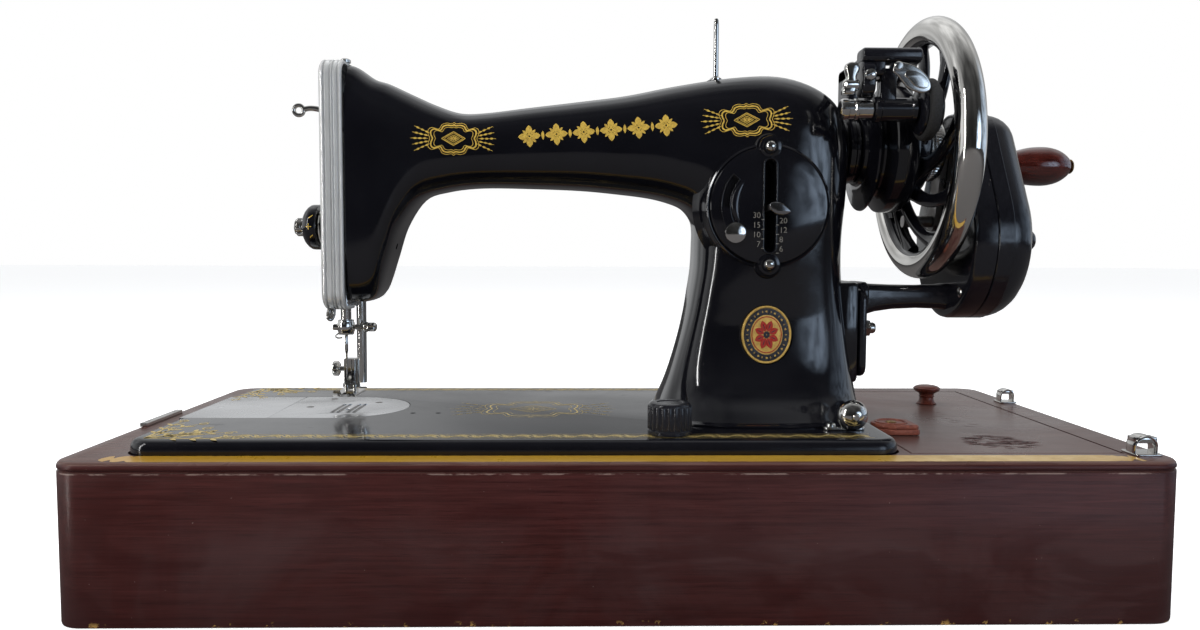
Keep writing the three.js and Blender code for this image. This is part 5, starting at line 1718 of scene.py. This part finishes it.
def winder():
    y, z = WINDER
    cheek = plate("cheek", "x", [rounded(-73.5, -58.5, 252, 270, 6, 10)], 121, 127.6, CASTING, 1.2)
    roof = plate("roof", "x", [rounded(-73, -60, 268.6, 276, 3, 8)], 121, 151, CASTING, 1.4)
    rib = plate("rib", "x", [rounded(-71, -61, 262, 272, 3, 8)], 127, 133, CASTING, 1.0)
    rail = plate("rail", "x", [rounded(-66, -6, 268.6, 276, 3, 8)], 126.6, 132.8, CASTING, 1.2)
    post = plate("post", "x", [rounded(-26, -6, 244, 276, 3, 8)], 126.6, 132.8, CASTING, 1.2)
    post = carve(post, baked_copy_of_skin(), cylinder("x", AXIS, 19.3, 120, 134))
    pivot = rod("pivot", "x", (y, z + 16), 2, 126, 140, CHROME)
    screw = screw_head("rivet", "y", (124.3, 262), -73.3, -76.0, 3.0, CHROME, 0.4)
    stand(merge("winder_arm", cheek, roof, rib, rail, post, pivot, screw), "head", "winder_bracket")
    barrel = lathe("barrel", "x", (y, z), [
        (3.1, 128), (5.8, 128), (6.6, 128.8), (6.6, 131), (6.1, 131.6), (6.1, 146.6), (6.6, 147.2),
        (6.6, 149.2), (5.8, 150), (3.1, 150), (3.1, 128),
    ], JAPAN, 56, 0, 28)
    lug = plate("lug", "x", [
        rounded(y - 4, y + 4, z, z + 20.5, 3.5, 8), circle(y, z + 16, 2.2, 32),
    ], 131, 139, CASTING, 0.9)
    stand(merge("winder_barrel", barrel, lug), "winder", "winder_frame")
    spindle = lathe("winder_shaft", "x", (y, z), [
        (0, 111), (3.6, 111.1), (4.8, 111.7), (5.4, 112.8), (5.4, 115.0), (5.0, 115.5), (5.0, 118.2),
        (5.4, 118.7), (5.4, 120.0), (4.6, 120.6), (4.6, 127.3), (3, 127.8), (3, 150.5),
        (5, 150.6), (10.6, 150.9), (12.2, 151.6), (12.6, 152.4), (10.6, 154), (10.4, 155.6), (10.6, 157.6),
        (12.4, 159.2), (12, 160.4), (10.6, 161.1), (4, 161.3), (0, 161.4),
    ], WINDER_STEEL, 72, 0, 28)
    spindle.data.materials.append(CASTING)
    for f in spindle.data.polygons:
        f.material_index = 1 if f.center.x > 0.1504 else 0
    stand(spindle, "winder_wheel", "winder_spindle")
    tyre = lathe("winder_ring", "x", (y, z), [
        (12.9, 152.7), (13.8, 152.7), (14.7, 153), (15.3, 153.6), (15.6, 154.4), (15.6, 157.0),
        (15.3, 157.8), (14.7, 158.4), (13.8, 158.7), (12.9, 158.7), (12.9, 152.7),
    ], RUBBER, 96, 0, 28)
    stand(tyre, "winder_wheel", "winder_tyre")
    outline = [
        (111, 252.8), (117, 252.8), (118.4, 255.4), (119.4, 258), (118.2, 261.0), (119.6, 264.4),
        (119.7, 266.2), (118.4, 268.2), (116, 268.9), (113.4, 268.0), (112.4, 265.6), (113.4, 261.4),
        (112.7, 258), (111.2, 255.4),
    ]
    outline = smooth_loop(outline, 4)
    wing = plate("wing", "y", [outline], y - 6, y - 1, CHROME, 1.6, 4)
    lobe = lathe("lobe", "x", (y - 3.6, 257.5), [
        (0, 111.8), (2.2, 112), (3.0, 113), (3.0, 118.4), (2.4, 119.6), (0, 120.4),
    ], CHROME, 40)
    stand(merge("winder_finger_wing", wing, lobe), "winder_finger", "winder_wing")
    shape = [
        (133.6, 264.4), (135.4, 266.8), (139.4, 266.6), (143.6, 265.4), (147.6, 263.0), (150.8, 259.6),
        (152.4, 256.0), (151.8, 253.2), (149.0, 252.0), (144.8, 252.6), (140.6, 254.6), (138.0, 257.6),
        (135.6, 260.4), (133.6, 262),
    ]
    shape = smooth_loop(shape)
    leafy = plate("leaf", "y", [shape], -80.4, -78.8, WORN_CHROME, 0.75, 4)
    raised = [(145.2 + (a - 143) * 0.62, 258.6 + (b - 259.6) * 0.6) for a, b in shape]
    leafy2 = plate("leaf_panel", "y", [raised], -80.9, -80.2, WORN_CHROME, 0.35)
    post = lathe("post", "y", (136, 265), [
        (0, -81.2), (1.6, -81.1), (2.2, -80.6), (2.2, -73.3), (0, -73.3),
    ], CHROME, 36)
    stand(merge("latch_leaf", leafy, leafy2, post), "winder_catch", "winder_latch")


def baked_copy_of_skin():
    """The arm's outer skin, a little larger, as a cutting tool."""
    return loft("tool", [rib_ring(r, 0.3, 32) for r in smooth_line(RIBS[8:18], 2)], WOOD)


winder()


# ---------------------------------------------------------------- bed fittings

def feed_knob():
    x, y, r = 24.5, -86, 11
    outline = []
    for i in range(26 * 8):
        a = TAU * i / (26 * 8)
        outline.append(
            (
                x + (r - 0.55 * abs(math.sin(13 * a)) ** 0.6) * math.cos(a),
                y + (r - 0.55 * abs(math.sin(13 * a)) ** 0.6) * math.sin(a),
            )
        )
    grip = plate("grip", "z", [outline], 86.4, 98.2, PLASTIC, 0.5)
    skirt = lathe("skirt", "z", (x, y), [
        (0, 84.3), (10.9, 84.3), (11.0, 84.8), (11.0, 86.2), (10.6, 86.7), (0, 86.8),
    ], PLASTIC, 72)
    cap = lathe("cap", "z", (x, y), [
        (0, 98), (10.2, 98), (10.1, 98.8), (9.6, 99.5), (8.4, 99.9), (6.6, 99.75), (6.2, 99.4), (0, 99.4),
    ], PLASTIC, 72)
    stand(merge("feed_dial_fluted", grip, skirt, cap), "feed_control", "feed_knob")


def winder_tension():
    foot = plate("foot", "z", [rounded(103, 124, -80, -71.6, 3, 8)], BED_TOP, 85.8, WORN_CHROME, 0.5)
    upright = plate("upright", "y", [rounded(111, 122, 84.2, 97, 4, 8)], -80, -77.8, WORN_CHROME, 0.5)
    stud = lathe("stud", "y", THREAD_STUD, [
        (0, -88.9), (1.3, -88.9), (1.8, -88.4), (1.8, -79), (0, -79),
    ], CHROME, 32)
    screw = screw_head("screw", "z", (107, -76.5), 85.6, 88.0, 2.4, WORN_CHROME, 0.7)
    stand(merge("winder_thread_post", foot, upright, stud, screw), "head", "winder_tension_bracket")
    dome = lathe("thread_dome", "y", THREAD_STUD, [
        (2.1, -80.6), (6.8, -80.6), (7.5, -80.9), (7.75, -81.4), (7.7, -82.0), (7.3, -83.2), (6.5, -84.5),
        (5.4, -85.7), (4.0, -86.6), (2.6, -87.1), (2.1, -87.2), (2.1, -80.6),
    ], CHROME, 96, 0, 40)
    stand(dome, "winding_tension", "winder_tension_disc")


feed_knob()
winder_tension()


# ---------------------------------------------------------------- hand crank

def pear(play, steps=48):
    big, small = 44 + play, 20 + play
    lean = math.asin((big - small) / (AXIS[1] - CRANK[1]))
    return arc(
        *AXIS, small, lean, math.pi - lean, steps // 2,
    ) + arc(*CRANK, big, math.pi - lean, TAU + lean, steps)


def pear_cup(name, levels, material):
    """A cup standing along X on the pear outline: levels are (x, inset)."""
    rings = []
    for x, i in levels:
        rings.append([(x, a, b) for a, b in pear(-i)])
    return loft(name, rings, material, 35)


def crank_case():
    back = pear_cup("back", [
        (186, 3.2), (186.3, 1.4), (187.2, 0.4), (188.6, 0), (196.2, 0), (196.5, -0.01), (197.6, 0),
        (198, 0.5),
    ], CASTING)
    back = carve(
        back, plate("tool", "x", [pear(-3)], 189, 200, WOOD, 0.01, 1), cylinder("x", AXIS, 7.2, 184, 200),
    )
    beam_rings = []
    for x, half_y, low, high in (
        (134, 11, 138, 157), (140, 10, 139, 156.6), (146, 8.4, 140.6, 156.2), (156, 7.6, 142, 155.8),
        (170, 7.2, 142.6, 155.6), (182, 7.6, 142.2, 156), (190, 8.6, 141, 157),
    ):
        beam_rings.append([(x, a, b) for a, b in rounded(-15 - half_y, -15 + half_y, low, high, 4.6, 8)])
    beam = loft("beam", beam_rings, CASTING)
    pad = plate("pad", "x", [rounded(-34, 4, 105, 154, 7, 10)], 133.3, 138, CASTING, 1.8)
    pad = carve(pad, cylinder("x", PAD_SCREW, 3.4, 130, 160))
    lip = plate("lip", "x", [rounded(-30, 0, 143, 157.6, 6, 8)], 134.5, 140, CASTING, 1.4)
    rivets = []
    for a in (0.75, 2.4, 4.0, 5.4):
        yy, zz = CRANK[0] + 38 * math.cos(a), CRANK[1] + 38 * math.sin(a)
        rivets.append(screw_head("rivet", "x", (yy, zz), 186.6, 184.9, 2.6, WORN_CHROME, a))
    stand(merge("crank_case_back", back, beam, pad, lip, *rivets), "head", "crank_bracket")
    cover = pear_cup("cover", [
        (198.3, 0.5), (198.8, -0.02), (199.4, 0), (206.4, 0), (206.9, 0.5), (209.6, 0.9), (212.4, 1.8),
        (215.0, 3.2), (217.4, 5.2), (219.2, 7.6), (220.4, 10.4), (221, 13.6),
    ], CASTING)
    cover = carve(
        cover, plate("tool", "x", [pear(-3)], 190, 211.6, WOOD, 0.01, 1),
        cylinder("x", CRANK, 7.25, 196, 224),
    )
    ring = lathe("boss", "x", CRANK, [
        (7.25, 211.5), (15, 211.5), (15, 220.6), (13.6, 221.3), (7.25, 221.35), (7.25, 211.5),
    ], CASTING, 64)
    screws = []
    for yy, zz in ((AXIS[0], 236), (CRANK[0] - 29, 168), (CRANK[0] + 29, 168)):
        screws.append(screw_head("cover_screw", "x", (yy, zz), 214.4, 221.0, 3.2, WORN_CHROME, yy))
    stand(merge("crank_case_cover", cover, ring, *screws), "head", "crank_cover")
    screw = merge(
        "pad_screw_turned",
        lathe("shank", "x", PAD_SCREW, [
            (0, 134), (3, 134), (3, 138.2), (6.4, 138.3), (6.7, 138.7), (6.7, 139.6), (6.2, 140), (0, 140),
        ], WORN_CHROME, 48),
        plate("hex", "x", [circle(*PAD_SCREW, 5.0, 6)], 139.8, 144.6, WORN_CHROME, 0.5),
        lathe("tip", "x", PAD_SCREW, [
            (0, 144.4), (3.2, 144.4), (3.2, 146.8), (2.6, 147.8), (0, 148),
        ], WORN_CHROME, 32),
    )
    stand(screw, "head", "bracket_screw")


def crank_and_handle():
    hy, hz = HANDLE
    length = math.hypot(hy - CRANK[0], hz - CRANK[1])
    angle = math.atan2(hz - CRANK[1], hy - CRANK[0])
    c, s = math.cos(angle), math.sin(angle)
    flat = arc(0, 0, 12, 0.42, TAU - 0.42, 40) + [
        (24, -6.0), (length - 20, -5.4), (length - 8, -6.0),
    ] + arc(length, 0, 7.5, -1.9, 1.9, 24) + [(length - 8, 6.0), (length - 20, 5.4), (24, 6.0)]
    outline = [(CRANK[0] + u * c - v * s, CRANK[1] + u * s + v * c) for u, v in flat]
    blade = plate("blade", "x", [outline], 221.9, 228, CASTING, 1.4)
    blade = carve(blade, cylinder("x", CRANK, 4.7, 215, 235))
    post = rod("post", "x", (hy, hz), 3.4, 227, 295.3, STEEL, 0.2)
    cap = lathe("cap", "x", (hy, hz), [
        (0, 295.1), (3.6, 295.1), (4.5, 295.4), (4.6, 295.9), (4.0, 296.6), (2.6, 297.2), (0, 297.4),
    ], BRASS, 48)
    stand(merge("crank_lever", blade, post, cap), "crank", "crank_arm")
    hexagon = circle(*CRANK, 8, 6)
    nut = plate("hexagon", "x", [hexagon, circle(*CRANK, 4.7, 40)], 228.3, 233.6, CASTING, 0.6)
    dome = lathe("dome", "x", CRANK, [
        (4.8, 233), (6.6, 233), (6.5, 234), (5.8, 235.6), (4.4, 237), (2.4, 238), (0, 238.2),
    ], CASTING, 56, 0, 40)
    stand(merge("crank_cap_nut", nut, dome), "crank", "crank_nut")
    outside = smooth_line([
        (7.4, 229), (8.1, 230.6), (7.0, 232.6), (6.4, 235), (6.3, 240), (7.0, 247), (8.4, 254.5),
        (10.4, 261.5), (11.9, 268),
        (12.4, 274.5), (12.2, 280), (11.0, 285.4), (9.0, 289.6), (6.6, 292.8), (4.6, 294.6),
    ], 4)
    profile = [(3.5, 229)] + [(r, h) for r, h in outside] + [(3.5, 295), (3.5, 229)]
    handle = lathe("handle_turned", "x", (hy, hz), profile, LACQUER, 112, 0, 50)
    stand(handle, "crank_grip", "crank_handle")


crank_case()
crank_and_handle()

spool = lathe("spool_spike", "z", SPOOL, [
    (0, 264.8), (2.5, 264.8), (2.5, 269), (3.3, 269.5), (3.4, 270.4), (2.4, 271.2), (1.5, 271.8),
    (1.45, 300), (1.35, 302.4), (0.9, 303.5), (0, 303.8),
], CHROME, 40)
stand(spool, "head", "spool_pin")


# ---------------------------------------------------------------- frame pieces that stay

def dress(material, *names):
    """Gives CAD nodes their finish."""
    for name in names:
        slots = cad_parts[name].data.materials
        if len(slots):
            for i in range(len(slots)):
                slots[i] = material
        else:
            slots.append(material)


dress(WOOD_SIDE, "base_floor")
dress(STEEL, "needle_link", "arm_shaft", "shuttle_hook", "feed_dog", "crank_gear", "crank_pinion")


# ---------------------------------------------------------------- studio

def softbox(name, at, aim, width, height, power, color=(1, 1, 1), mirrored_in_gloss=True):
    data = bpy.data.lights.new(name, "AREA")
    data.shape = "RECTANGLE"
    data.size, data.size_y = width, height
    data.energy = power
    data.color = color
    lamp = link(bpy.data.objects.new(name, data))
    lamp.location = at
    lamp.rotation_euler = (Vector(aim) - Vector(at)).to_track_quat("-Z", "Y").to_euler()
    lamp.visible_glossy = mirrored_in_gloss
    return lamp


def room_light():
    """White behind the object; in reflections a darker room with bright sides and ceiling."""
    world = bpy.data.worlds.new("studio")
    bpy.context.scene.world = world
    world.use_nodes = True
    tree = world.node_tree
    tree.nodes.clear()
    n = Tree(tree)

    def ramp(value, low, high, a, b):
        return n.add("MapRange", Value=value, From_Min=low, From_Max=high, To_Min=a, To_Max=b).outputs[0]

    way = n.add("TexCoord").outputs["Generated"]
    split = n.add("SeparateXYZ", Vector=way)
    y, z = split.outputs["Y"], split.outputs["Z"]

    def window(aim, inner, outer, strength):
        """A soft-edged bright patch round a direction, with its edges at two angles in degrees."""
        spread = tree.nodes.new("ShaderNodeVectorMath")
        spread.operation = "DOT_PRODUCT"
        tree.links.new(way, spread.inputs[0])
        spread.inputs[1].default_value = Vector(aim).normalized()
        return ramp(
            spread.outputs["Value"], math.cos(math.radians(outer)), math.cos(math.radians(inner)), 0.0,
            strength,
        )

    patches = ramp(n.add("TexNoise", Vector=way, Scale=2.6, Detail=2.0).outputs["Fac"], 0.35, 0.65, 0.65, 1.3)
    streaks = ramp(
        n.add("TexNoise", Vector=way, Scale=9.0, Detail=4.0, Distortion=0.6).outputs["Fac"], 0.36, 0.6,
        0.25, 1.25,
    )
    back = ramp(y, 0.0, 0.7, 0.025, 0.46)
    above = n.times(ramp(z, 0.30, 0.85, 0.0, 0.52), ramp(y, -0.35, 0.25, 0.08, 1.0))
    left = window((-1.0, 0.05, 0.12), 12, 42, 0.55)
    total = n.times(n.math("ADD", n.math("ADD", back, left), above), patches)
    room = n.add("Background", Color=(0.97, 0.985, 1.0), Strength=total)
    right = n.math("ADD", window((0.59, -0.80, 0.08), 8, 20, 2.6), window((1.0, 0.0, 0.15), 10, 36, 0.8))
    blue = n.add("Background", Color=(0.62, 0.78, 1.0), Strength=n.times(right, streaks))
    both = n.blend("AddShader", room.outputs[0], blue.outputs[0])
    white = n.add("Background", Color=(1, 1, 1), Strength=1.0)
    seen = n.add("LightPath").outputs["Is Camera Ray"]
    n.add("OutputWorld", Surface=n.blend("MixShader", seen, both, white.outputs[0]))


def studio():
    n = Nodes("studio_floor")
    tone = n.noise(n.place(), 0.004, 2)
    paper = n.finish(
        Base_Color=n.mix(tone, 0.93, 0.9), Roughness=0.9,
        Normal=n.bump(n.noise(n.place(), 0.4, 2), 0.05, 0.2), Emission_Color=1, Emission_Strength=0.6,
    )
    seen = n.add("LightPath").outputs["Is Camera Ray"]
    dim = n.add("BsdfDiffuse", Color=(0.11, 0.105, 0.105))
    n.feed(
        n.tree.nodes["Material Output"].inputs["Surface"],
        n.blend("MixShader", seen, dim.outputs[0], n.shader.outputs[0]),
    )
    floor = solid("floor", [
        (-9000, -3000, 0), (9000, -3000, 0), (9000, 14000, 0), (-9000, 14000, 0),
    ], [(0, 1, 2, 3)], paper)
    room_light()
    softbox("key_left", (-1.7, -1.6, 1.3), (0, 0, 0.12), 1.2, 1.2, 26, (0.98, 0.99, 1.0), False)
    softbox("fill_front", (0.6, -2.2, 0.9), (0, 0, 0.1), 1.6, 1.2, 16, (1, 1, 1), False)
    softbox("top", (0.0, 0.1, 2.2), (0, 0, 0), 2.4, 1.2, 30, (1, 1, 1), False)
    softbox("fill_right", (1.75, -1.15, 0.95), (0.05, 0, 0.15), 0.6, 0.8, 10, (0.85, 0.92, 1.0), False)
    softbox("strip_left", (-1.25, -0.75, 0.62), (0, 0, 0.18), 0.05, 1.3, 5.5)
    bpy.context.scene.view_settings.view_transform = "Standard"
    bpy.context.scene.view_settings.look = "None"


studio()
